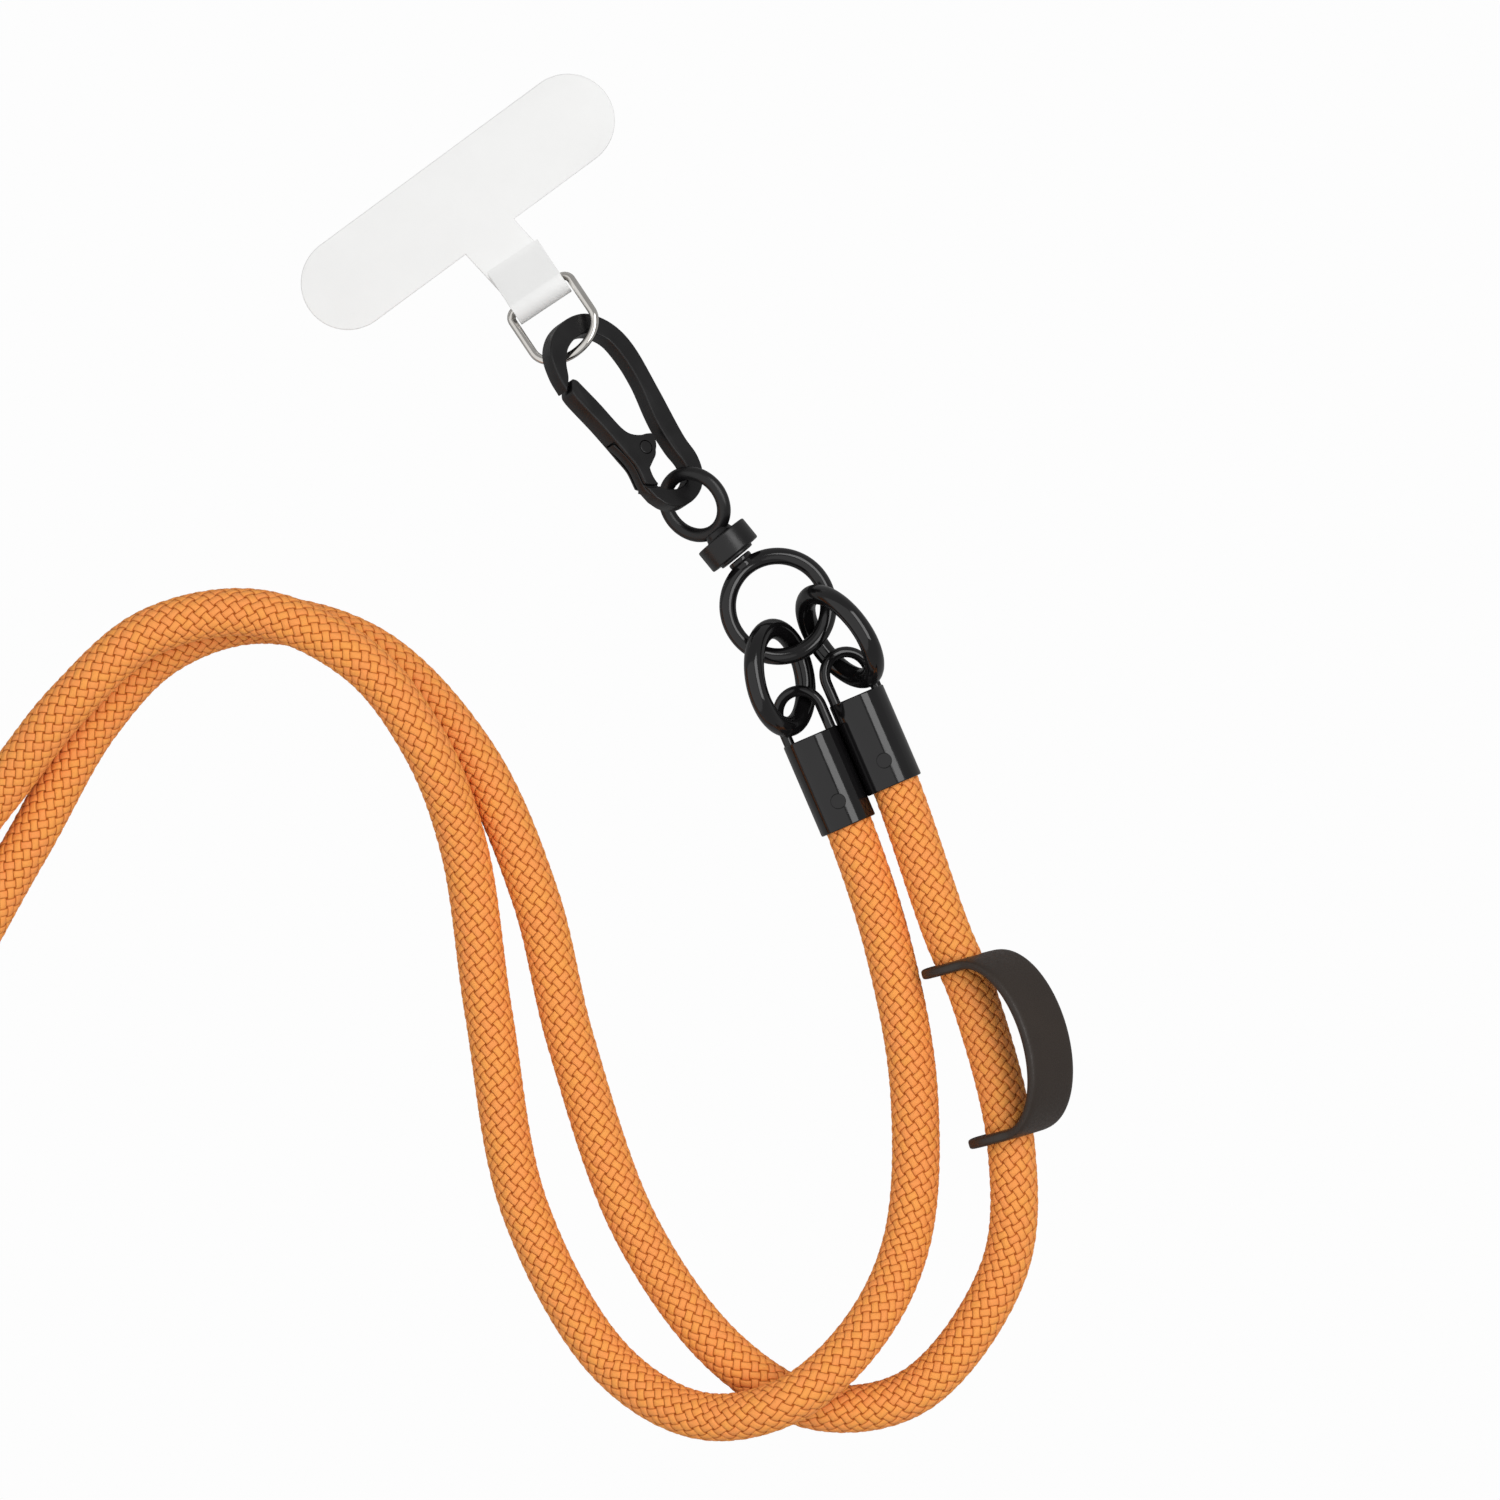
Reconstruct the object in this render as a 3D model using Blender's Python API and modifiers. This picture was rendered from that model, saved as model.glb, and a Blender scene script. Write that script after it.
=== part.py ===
"""Phone crossbody strap, lying flat: a round braided cord with a metal cap at each end, two
split links, a swivel with a snap hook, a D-ring with a flexible tether tab, and a finger
keeper on the cord. Blender 4.5, metres, +Z up. The floor is z = 0."""

import math

import bmesh
import bpy
from mathutils import Matrix, Vector

for old in list(bpy.data.objects):
    bpy.data.objects.remove(old)

MM = 0.001
GAP = 0.3 * MM

# Cord
CORD_D = 8.2 * MM
CORD_POINTS = 80
CORD_SIDES_RES = 4
ROUTE_MM = [
    # strand that starts in the left cap, down, round the bottom and over the hump
    (21.6, -23.8, 4.9),
    (27.2, -36.6, 4.9),
    (33.9, -57.1, 4.1),
    (38.5, -82.6, 4.1),
    (37.2, -108.6, 4.4),
    (29.2, -124.8, 9.4),
    (16.6, -135.7, 12.9),
    (1.8, -138.3, 8.6),
    (-13.4, -129.5, 4.1),
    (-28.4, -103.1, 4.1),
    (-34.7, -69.5, 4.1),
    (-39.1, -40.2, 6.4),
    (-45.8, -22.6, 11.3),
    (-56.8, -8.4, 12.9),
    (-74.1, -0.3, 12.9),
    (-92.5, -3.4, 12.8),
    (-106.8, -15.7, 11.6),
    (-119.1, -31.2, 8.6),
    # plain loop beyond the photo's left edge
    (-149.0, -67.0, 4.5),
    (-193.0, -90.0, 4.1),
    (-238.0, -76.0, 4.1),
    (-262.0, -34.0, 4.1),
    (-280.0, 0.0, 4.1),
    (-309.0, -12.0, 4.1),
    (-313.0, -60.0, 4.1),
    (-281.0, -104.0, 4.1),
    (-236.0, -128.0, 4.1),
    (-186.0, -124.0, 4.1),
    (-146.0, -92.0, 4.1),
    # strand that ends in the right cap, under the other at the hump and the bottom
    (-115.1, -41.6, 4.1),
    (-102.3, -19.1, 4.1),
    (-90.3, -6.6, 4.1),
    (-74.4, -1.4, 4.1),
    (-54.9, -6.6, 4.1),
    (-37.5, -24.8, 4.1),
    (-26.8, -48.8, 4.1),
    (-20.6, -74.0, 4.1),
    (-9.1, -106.7, 4.1),
    (6.6, -128.1, 4.1),
    (22.0, -136.9, 4.1),
    (38.7, -134.1, 4.1),
    (53.9, -113.4, 4.5),
    (55.2, -92.1, 7.3),
    (49.0, -66.9, 7.7),
    (44.0, -54.8, 6.8),
    (35.5, -30.2, 4.9),
    (29.9, -17.2, 4.9),
]

# Caps on the cord's ends, with their bails
CAP_WALL = 0.5 * MM
CAP_D = CORD_D + 2 * (GAP + CAP_WALL)
CAP_LENGTH = 16.8 * MM
CAP_END_WALL = 1.5 * MM
CAP_EDGE = 0.25 * MM
CAP_HEADING = math.radians(-66.7)
CAP_SPACE = 0.22 * MM
CAP_STEP = 3.3 * MM
CAP_LEFT_TOP = Vector((20.6, -21.4, 0)) * MM
BAIL_D = 1.9 * MM
BAIL_ROLL = math.radians(19)
BAIL_RISE_LEFT = 9.12 * MM
BAIL_RISE_RIGHT = 8.8 * MM
DIMPLE_D = 2.7 * MM
DIMPLE_DEPTH = 0.3 * MM
DIMPLE_FROM_MOUTH = 4.6 * MM

# Links
LINK_OD = 20.6 * MM
LINK_WIRE = 3.5 * MM
LINK_LEFT_AT = Vector((15.4, -11.36, 9.22)) * MM
LINK_LEFT_HEADING = math.radians(-79.4)
LINK_LEFT_TILT = math.radians(-60.2)
LINK_RIGHT_AT = Vector((25.7, -4.24, 9.52)) * MM
LINK_RIGHT_HEADING = math.radians(-53.3)
LINK_RIGHT_TILT = math.radians(64.4)

# Swivel, along an axis from the hook's side to the links' side
SWIVEL_AT = Vector((15.09, 0.95, 6.38)) * MM
SWIVEL_HEADING = math.radians(-50.7)
SWIVEL_RISE = math.radians(1.3)
BIG_RING_OD = 20.3 * MM
BIG_RING_WIRE = 2.9 * MM
BIG_RING_ROLL = math.radians(-7.2)
SMALL_RING_OD = 13.8 * MM
SMALL_RING_WIRE = 2.4 * MM
SMALL_RING_ROLL = math.radians(35.9)
DRUM_D = 9.8 * MM
DRUM_LENGTH = 4.2 * MM
DRUM_EDGE = 0.25 * MM
DRUM_FROM_RING = 13.6 * MM
DRUM_WALL = 0.9 * MM
BOSS_D = 5.2 * MM
BOSS_LENGTH = 1.3 * MM
COLLAR_D = 6.6 * MM
COLLAR_LENGTH = 0.5 * MM
SPINDLE_D = 2.4 * MM
SPINDLE_HEAD_D = 4.6 * MM
SPINDLE_HEAD_LENGTH = 1.1 * MM
NECK_D = 4.4 * MM

# Snap hook, in its own plane: u runs down its length, v across it
HOOK_LOW_AT = Vector((0.275, 20.825, 4.71)) * MM
HOOK_LOW_U = 0.44
HOOK_NOSE_U = -0.46
HOOK_HEADING = math.radians(-57.3)
HOOK_TILT = math.radians(38.25)
HOOK_LENGTH = 38.1 * MM
HOOK_WIDTH = 17.3 * MM
HOOK_THICK = 3.1 * MM
HOOK_EDGE = 0.35 * MM
GATE_THICK = 3.8 * MM
GATE_CHEEK = 0.6 * MM
GATE_SEAM = 0.065
SHOULDER_R = 0.1877 * HOOK_LENGTH
SHOULDER_FROM = math.radians(-37)
SHOULDER_TO = math.radians(-14)
PIN_D = 2.3 * MM
PIN_U = 0.162
PIN_V = -0.276
TANG_HEAD_R = 0.068 * HOOK_LENGTH
# outlines as shares of the hook's length (u) and width (v)
HOOK_OUTER = [
    (-0.242, -0.712),
    (-0.325, -0.703),
    (-0.430, -0.624),
    (-0.496, -0.450),
    (-0.518, -0.215),
    (-0.496, 0.012),
    (-0.432, 0.172),
    (-0.352, 0.270),
    (-0.250, 0.311),
    (-0.032, 0.280),
    (0.215, 0.229),
    (0.313, 0.239),
    (0.395, 0.182),
    (0.455, 0.050),
    (0.480, -0.124),
    (0.472, -0.290),
    (0.433, -0.420),
    (0.380, -0.492),
]
HOOK_INNER = [
    (0.372, -0.320),
    (0.397, -0.200),
    (0.396, -0.090),
    (0.370, 0.010),
    (0.313, 0.046),
    (0.234, 0.025),
    (0.121, 0.026),
    (0.044, 0.049),
    (-0.105, 0.114),
    (-0.238, 0.121),
    (-0.341, 0.072),
    (-0.408, -0.070),
    (-0.424, -0.215),
    (-0.403, -0.400),
    (-0.350, -0.525),
    (-0.289, -0.602),
    (-0.252, -0.680),
]
TANG_OUTER = [
    (0.400, -0.440),
    (0.330, -0.530),
    (0.213, -0.500),
    (0.147, -0.520),
    (0.075, -0.575),
]
TANG_INNER = [
    (0.255, -0.350),
    (0.330, -0.375),
    (0.400, -0.330),
]
GATE_OUTER = [
    (0.298, -0.527),
    (0.213, -0.500),
    (0.146, -0.523),
    (-0.024, -0.592),
    (-0.201, -0.682),
    (-0.226, -0.680),
    (-0.250, -0.640),
    (-0.273, -0.590),
    (-0.262, -0.555),
]
GATE_INNER = [
    (-0.254, -0.545),
    (-0.122, -0.470),
    (0.045, -0.385),
    (0.078, -0.330),
    (0.102, -0.245),
    (0.112, -0.165),
    (0.126, -0.110),
    (0.160, -0.120),
    (0.190, -0.165),
    (0.213, -0.250),
    (0.243, -0.355),
    (0.286, -0.390),
    (0.320, -0.393),
]

# D-ring, from its bar towards the hook
D_BOW_FROM_NOSE = Vector((-1.4, -4.97, 0)) * MM
D_BAR_Z = 3.03 * MM
D_BAR_HEADING = math.radians(33.7)
D_RISE = math.radians(21.9)
D_ROLL = math.radians(6.85)
D_WIRE = 1.5 * MM
D_HALF_WIDTH = 6.27 * MM
D_SIDE = 8.32 * MM
D_DEPTH = 13.0 * MM
D_CORNER = 1.5 * MM

# Tether tab
TAB_THICK = 0.9 * MM
TAB_LENGTH = 63.3 * MM
TAB_WIDTH = 16.2 * MM
TAB_FROM_BAR = Vector((-13.76, 15.95, 0)) * MM
TAB_HEADING = math.radians(36.4)
TAB_NECK_WIDTH = 10.4 * MM
TAB_LOOP_R = 1.98 * MM
TAB_FOLD = 8.0 * MM
TAB_EDGE = 0.2 * MM

# Finger keeper, around a chord that is the cord's own line
KEEPER_AT = Vector((50.6, -75.3, 7.25)) * MM
KEEPER_HEADING = math.radians(-74.5)
KEEPER_LEAN = math.radians(43)
KEEPER_CHORD = 30.3 * MM
KEEPER_BOW = 14.4 * MM
KEEPER_WIDTH = 11 * MM
KEEPER_THICK = 1.9 * MM
KEEPER_DISC_D = 14 * MM
KEEPER_ARM = 4.2 * MM
KEEPER_SLACK = 0.6 * MM

ROOT = bpy.data.collections.new("phone_crossbody_strap")
CUTTERS = bpy.data.collections.new("cutters")
bpy.context.scene.collection.children.link(ROOT)
bpy.context.scene.collection.children.link(CUTTERS)
CUTTERS.hide_render = True


def material(name, colour, roughness, metallic):
    made = bpy.data.materials.new(name)
    made.use_nodes = True
    shader = made.node_tree.nodes["Principled BSDF"]
    shader.inputs["Base Color"].default_value = (*colour, 1)
    shader.inputs["Roughness"].default_value = roughness
    shader.inputs["Metallic"].default_value = metallic
    return made


BLACK_GLOSS = material("black_gloss_plating", (0.012, 0.012, 0.013), 0.18, 1.0)
BLACK_SATIN = material("black_satin_coating", (0.018, 0.018, 0.019), 0.38, 0.6)
STEEL = material("polished_steel", (0.72, 0.71, 0.69), 0.12, 1.0)
TAB_WHITE = material("white_flexible_plastic", (0.86, 0.86, 0.85), 0.4, 0.0)
KEEPER_BROWN = material("dark_brown_rubber", (0.042, 0.031, 0.026), 0.5, 0.0)
CORD_ORANGE = material("orange_braid", (0.93, 0.36, 0.08), 0.75, 0.0)


def smooth(points, steps):
    """A smooth run through the points, with that many steps from one to the next."""
    run = [2 * points[0] - points[1], *points, 2 * points[-1] - points[-2]]
    made = []
    for before, start, end, after in zip(run, run[1:], run[2:], run[3:]):
        d0 = math.sqrt((start - before).length)
        d1 = math.sqrt((end - start).length)
        d2 = math.sqrt((after - end).length)
        leave = d1 * ((start - before) / d0 - (end - before) / (d0 + d1)) + (end - start)
        arrive = d1 * ((after - end) / d2 - (after - start) / (d1 + d2)) + (end - start)
        for i in range(steps):
            t = i / steps
            made.append(
                (2 * t**3 - 3 * t**2 + 1) * start
                + (t**3 - 2 * t**2 + t) * leave
                + (3 * t**2 - 2 * t**3) * end
                + (t**3 - t**2) * arrive
            )
    return [*made, points[-1]]


def evenly(points, count):
    """That many points, evenly spaced along a run."""
    lengths = [0.0]
    for a, b in zip(points, points[1:]):
        lengths.append(lengths[-1] + (b - a).length)
    made = []
    at = 0
    for i in range(count):
        wanted = lengths[-1] * i / (count - 1)
        while at < len(points) - 2 and lengths[at + 1] < wanted:
            at += 1
        share = (wanted - lengths[at]) / (lengths[at + 1] - lengths[at])
        made.append(points[at].lerp(points[at + 1], min(share, 1.0)))
    return made


def placed(at, along, up):
    """A matrix at a point, with its X along one direction and its Z as near as can be to another."""
    x = along.normalized()
    y = up.cross(x).normalized()
    z = x.cross(y)
    return Matrix.Translation(at) @ Matrix((x, y, z)).transposed().to_4x4()


def heading(angle, rise=0.0):
    return Vector((math.cos(angle) * math.cos(rise), math.sin(angle) * math.cos(rise), math.sin(rise)))


def tidy_mesh(obj):
    bm = bmesh.new()
    bm.from_mesh(obj.data)
    bmesh.ops.remove_doubles(bm, verts=bm.verts, dist=1e-7)
    bmesh.ops.recalc_face_normals(bm, faces=bm.faces)
    bm.to_mesh(obj.data)
    bm.free()


def finished(obj, paint, matrix=None, is_cutter=False):
    """Gives an object its place, material and collection, and shades it smooth."""
    if matrix is not None:
        obj.matrix_world = matrix
    for holder in list(obj.users_collection):
        holder.objects.unlink(obj)
    (CUTTERS if is_cutter else ROOT).objects.link(obj)
    if is_cutter:
        obj.hide_render = True
        obj.display_type = "WIRE"
    obj.data.materials.clear()
    obj.data.materials.append(paint)
    obj.data.shade_smooth()
    return obj


def from_bmesh(name, bm):
    mesh = bpy.data.meshes.new(name)
    bm.to_mesh(mesh)
    bm.free()
    obj = bpy.data.objects.new(name, mesh)
    ROOT.objects.link(obj)
    return obj


def from_curve(name, curve):
    """Turns a curve into a mesh object, and removes the curve."""
    maker = bpy.data.objects.new(name + "_curve", curve)
    ROOT.objects.link(maker)
    bpy.context.view_layer.update()
    graph = bpy.context.evaluated_depsgraph_get()
    mesh = bpy.data.meshes.new_from_object(maker.evaluated_get(graph))
    bpy.data.objects.remove(maker)
    obj = bpy.data.objects.new(name, mesh)
    ROOT.objects.link(obj)
    tidy_mesh(obj)
    return obj


def add_run(curve, points, cyclic):
    spline = curve.splines.new("POLY")
    spline.points.add(len(points) - 1)
    for slot, point in zip(spline.points, points):
        slot.co = (*point, 1)
    spline.use_cyclic_u = cyclic


def wire(name, points, diameter, resolution, cyclic=False):
    curve = bpy.data.curves.new(name, "CURVE")
    curve.dimensions = "3D"
    curve.bevel_depth = diameter / 2
    curve.bevel_resolution = resolution
    curve.use_fill_caps = not cyclic
    add_run(curve, points, cyclic)
    return from_curve(name, curve)


def plate(name, outlines, thick, edge):
    """A flat plate about z = 0 with the outlines given, the later ones as holes, and eased edges."""
    curve = bpy.data.curves.new(name, "CURVE")
    curve.dimensions = "2D"
    curve.fill_mode = "BOTH"
    curve.extrude = thick / 2 - edge
    if edge:
        curve.bevel_depth = edge
        curve.bevel_resolution = 1
        curve.offset = -edge
    for outline in outlines:
        add_run(curve, [Vector((p.x, p.y, 0)) for p in outline], True)
    return from_curve(name, curve)


def cylinder(name, diameter, length, sides=28, edge=0.0):
    """A cylinder from x = 0 to x = length along X."""
    bm = bmesh.new()
    bmesh.ops.create_cone(
        bm, cap_ends=True, segments=sides, radius1=diameter / 2, radius2=diameter / 2, depth=length
    )
    bmesh.ops.transform(bm, matrix=Matrix.Rotation(math.pi / 2, 4, "Y"), verts=bm.verts)
    bmesh.ops.translate(bm, vec=(length / 2, 0, 0), verts=bm.verts)
    if edge:
        rims = [e for e in bm.edges if abs(e.verts[0].co.x - e.verts[1].co.x) < 1e-9]
        bmesh.ops.bevel(bm, geom=rims, offset=edge, segments=1, affect="EDGES")
    return from_bmesh(name, bm)


def torus(name, outer_d, wire_d, around=30, across=10):
    bpy.ops.mesh.primitive_torus_add(
        major_segments=around,
        minor_segments=across,
        major_radius=(outer_d - wire_d) / 2,
        minor_radius=wire_d / 2,
    )
    obj = bpy.context.object
    obj.name = name
    return obj


def box(name, low, high):
    bm = bmesh.new()
    bmesh.ops.create_cube(bm, size=1)
    bmesh.ops.scale(bm, vec=high - low, verts=bm.verts)
    bmesh.ops.translate(bm, vec=(high + low) / 2, verts=bm.verts)
    return from_bmesh(name, bm)


def boolean(obj, other, operation):
    modifier = obj.modifiers.new(operation.lower() + "_" + other.name, "BOOLEAN")
    modifier.operation = operation
    modifier.solver = "EXACT"
    modifier.object = other


def add_to(obj, other, matrix, paint):
    """Fuses another shape into an object."""
    finished(other, paint, matrix, is_cutter=True)
    boolean(obj, other, "UNION")


def cut_from(obj, other, matrix, paint):
    finished(other, paint, matrix, is_cutter=True)
    boolean(obj, other, "DIFFERENCE")


def share_points(table):
    """A table of shares of the hook's length and width, as points in the hook's plane."""
    return [Vector((u * HOOK_LENGTH, v * HOOK_WIDTH, 0)) for u, v in table]


def arc(centre, radius, start, end, steps):
    return [
        centre + radius * Vector((math.cos(a), math.sin(a), 0))
        for a in (start + (end - start) * i / steps for i in range(steps + 1))
    ]


# Cord
def build_cord():
    route = evenly(smooth([Vector(p) * MM for p in ROUTE_MM], 12), CORD_POINTS)
    for point in route:
        point.z = max(point.z, CORD_D / 2)
    cord = wire("cord", route, CORD_D, CORD_SIDES_RES)
    finished(cord, CORD_ORANGE)


# Caps with their bails
def cap_right_top():
    along = heading(CAP_HEADING)
    across = Vector((0, 0, 1)).cross(along)
    return CAP_LEFT_TOP + across * (CAP_D + CAP_SPACE) - along * CAP_STEP


def build_cap(name, top, bail_rise, bail_roll):
    along = heading(CAP_HEADING)
    matrix = placed(top + Vector((0, 0, CAP_D / 2)), along, Vector((0, 0, 1)))
    cap = cylinder(name, CAP_D, CAP_LENGTH, edge=CAP_EDGE)
    finished(cap, BLACK_GLOSS, matrix)
    half = (CAP_D - BAIL_D) / 2
    leg = bail_rise - CAP_D / 2
    turn = Matrix.Rotation(bail_roll, 3, "X")
    inside = CAP_END_WALL * 0.8
    arch = [Vector((-leg - half * math.sin(a), -half * math.cos(a), 0)) for a in
            (math.pi * i / 16 for i in range(17))]
    points = [Vector((inside, -half, 0)), *arch, Vector((inside, half, 0))]
    bail = wire(name + "_bail", [turn @ p for p in points], BAIL_D, 3)
    add_to(cap, bail, matrix, BLACK_GLOSS)
    bore = cylinder(name + "_bore", CORD_D + 2 * GAP, CAP_LENGTH)
    cut_from(cap, bore, matrix @ Matrix.Translation((CAP_END_WALL, 0, 0)), BLACK_GLOSS)
    # a shallow round crimp mark, cut by a ball whose cap is as wide as the mark
    ball_r = (DIMPLE_D**2 / 4 + DIMPLE_DEPTH**2) / (2 * DIMPLE_DEPTH)
    bm = bmesh.new()
    bmesh.ops.create_uvsphere(bm, u_segments=16, v_segments=16, radius=ball_r)
    ball = from_bmesh(name + "_crimp", bm)
    lift = CAP_D / 2 + ball_r - DIMPLE_DEPTH
    at = matrix @ Matrix.Translation((CAP_LENGTH - DIMPLE_FROM_MOUTH, 0, lift))
    cut_from(cap, ball, at, BLACK_GLOSS)


# Links
def build_link(name, at, angle, tilt):
    link = torus(name, LINK_OD, LINK_WIRE)
    matrix = placed(at, heading(angle), Vector((0, 0, 1))) @ Matrix.Rotation(tilt, 4, "X")
    finished(link, BLACK_GLOSS, matrix)


# Swivel
def build_swivel():
    axis = heading(SWIVEL_HEADING, SWIVEL_RISE)
    frame = placed(SWIVEL_AT, axis, Vector((0, 0, 1)))
    drum_end = -DRUM_FROM_RING + DRUM_LENGTH / 2
    drum_start = -DRUM_FROM_RING - DRUM_LENGTH / 2

    def on_axis(x):
        return frame @ Matrix.Translation((x, 0, 0))

    ring = torus("swivel_ring", BIG_RING_OD, BIG_RING_WIRE)
    finished(ring, BLACK_GLOSS, frame @ Matrix.Rotation(BIG_RING_ROLL, 4, "X"))
    neck_start = drum_end + COLLAR_LENGTH + GAP
    neck_end = -BIG_RING_OD / 2 + BIG_RING_WIRE / 2
    head_start = drum_start + DRUM_WALL + GAP
    neck = cylinder("swivel_neck", NECK_D, neck_end - neck_start, 24)
    add_to(ring, neck, on_axis(neck_start), BLACK_GLOSS)
    spindle = cylinder("swivel_spindle", SPINDLE_D, neck_end - head_start, 16)
    add_to(ring, spindle, on_axis(head_start), BLACK_GLOSS)
    head = cylinder("swivel_head", SPINDLE_HEAD_D, SPINDLE_HEAD_LENGTH, 24)
    add_to(ring, head, on_axis(head_start), BLACK_GLOSS)

    small_at = drum_start - BOSS_LENGTH - (SMALL_RING_OD - SMALL_RING_WIRE) / 2
    eye = torus("swivel_eye", SMALL_RING_OD, SMALL_RING_WIRE)
    finished(eye, BLACK_SATIN, on_axis(small_at) @ Matrix.Rotation(SMALL_RING_ROLL, 4, "X"))
    drum = cylinder("swivel_drum", DRUM_D, DRUM_LENGTH, edge=DRUM_EDGE)
    add_to(eye, drum, on_axis(drum_start), BLACK_SATIN)
    boss = cylinder("swivel_boss", BOSS_D, BOSS_LENGTH + DRUM_WALL / 2, 24)
    add_to(eye, boss, on_axis(drum_start - BOSS_LENGTH), BLACK_SATIN)
    collar = cylinder("swivel_collar", COLLAR_D, COLLAR_LENGTH + DRUM_WALL / 2, 28)
    add_to(eye, collar, on_axis(drum_end - DRUM_WALL / 2), BLACK_SATIN)
    room = cylinder("swivel_room", SPINDLE_HEAD_D + 2 * GAP, SPINDLE_HEAD_LENGTH + 2 * GAP, 24)
    cut_from(eye, room, on_axis(head_start - GAP), BLACK_SATIN)
    hole = cylinder("swivel_hole", SPINDLE_D + 2 * GAP, drum_end + 2 * COLLAR_LENGTH - head_start, 20)
    cut_from(eye, hole, on_axis(head_start), BLACK_SATIN)


# Snap hook, held by its low end in the swivel's small ring
def hook_at(u):
    return HOOK_LOW_AT + heading(HOOK_HEADING) * HOOK_LENGTH * (u - HOOK_LOW_U)


def build_hook():
    along = heading(HOOK_HEADING)
    level = placed(hook_at(0), along, Vector((0, 0, 1)))
    # v runs to the right of the hook in the photo, which is local +Y, and its left side is raised
    frame = level @ Matrix.Rotation(-HOOK_TILT, 4, "X")
    pin_at = Vector((PIN_U * HOOK_LENGTH, PIN_V * HOOK_WIDTH, 0))
    shoulder = arc(pin_at, SHOULDER_R, SHOULDER_FROM, SHOULDER_TO, 6)
    outer = smooth(share_points(HOOK_OUTER), 3)
    inner = smooth(share_points(HOOK_INNER), 3)
    body = plate("hook_body", [[*outer, *shoulder, *inner]], HOOK_THICK, HOOK_EDGE)
    finished(body, BLACK_SATIN, frame)
    tang_thick = GATE_THICK - 2 * GATE_CHEEK - 2 * GAP
    head = arc(pin_at, TANG_HEAD_R, math.radians(170), math.radians(20), 8)
    tang_outline = [
        *smooth(share_points(TANG_OUTER), 2),
        *head,
        *smooth(share_points(TANG_INNER), 2),
    ]
    tang = plate("hook_tang", [tang_outline], tang_thick, 0)
    add_to(body, tang, frame, BLACK_SATIN)
    eye = cylinder("hook_pin_hole", PIN_D + 2 * GAP, GATE_THICK, 16)
    through = frame @ Matrix.Translation(pin_at) @ Matrix.Rotation(-math.pi / 2, 4, "Y")
    lower = Matrix.Translation((-GATE_THICK / 2, 0, 0))
    cut_from(body, eye, through @ lower, BLACK_SATIN)

    end = arc(pin_at, SHOULDER_R - GAP, SHOULDER_TO - 0.05, SHOULDER_FROM + 0.04, 5)
    gate_outline = [
        *smooth(share_points(GATE_OUTER), 3),
        *smooth(share_points(GATE_INNER), 3),
        *end,
    ]
    gate = plate("hook_gate", [gate_outline], GATE_THICK, HOOK_EDGE)
    finished(gate, BLACK_SATIN, frame)
    slot_half = GATE_THICK / 2 - GATE_CHEEK
    slot = box(
        "hook_gate_slot",
        Vector((GATE_SEAM * HOOK_LENGTH, -HOOK_WIDTH, -slot_half)),
        Vector((HOOK_LENGTH, HOOK_WIDTH, slot_half)),
    )
    cut_from(gate, slot, frame, BLACK_SATIN)
    gate_hole = cylinder("hook_gate_hole", PIN_D + 2 * GAP, 2 * GATE_THICK, 16)
    cut_from(gate, gate_hole, through @ Matrix.Translation((-GATE_THICK, 0, 0)), BLACK_SATIN)
    pin = cylinder("gate_pin", PIN_D, GATE_THICK, 16)
    finished(pin, BLACK_SATIN, through @ lower)


# D-ring, whose bow passes through the hook's nose end
def d_forward():
    return heading(D_BAR_HEADING - math.pi / 2)


def d_bar_at():
    at = hook_at(HOOK_NOSE_U) + D_BOW_FROM_NOSE - d_forward() * D_DEPTH * math.cos(D_RISE)
    return Vector((at.x, at.y, D_BAR_Z))


def build_d_ring():
    frame = placed(d_bar_at(), d_forward(), Vector((0, 0, 1)))
    frame = frame @ Matrix.Rotation(-D_RISE, 4, "Y") @ Matrix.Rotation(D_ROLL, 4, "X")
    corner = D_CORNER
    half = D_HALF_WIDTH
    low = arc(Vector((corner, -half + corner, 0)), corner, math.pi, 1.5 * math.pi, 4)
    high = arc(Vector((corner, half - corner, 0)), corner, 0.5 * math.pi, math.pi, 4)
    bulge = D_DEPTH - D_SIDE
    bow = [
        Vector((D_SIDE + bulge * math.cos(a), half * math.sin(a), 0))
        for a in (math.pi * (i / 14 - 0.5) for i in range(15))
    ]
    ring = wire("d_ring", [*low, *bow, *high], D_WIRE, 2, cyclic=True)
    finished(ring, STEEL, frame)


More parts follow.
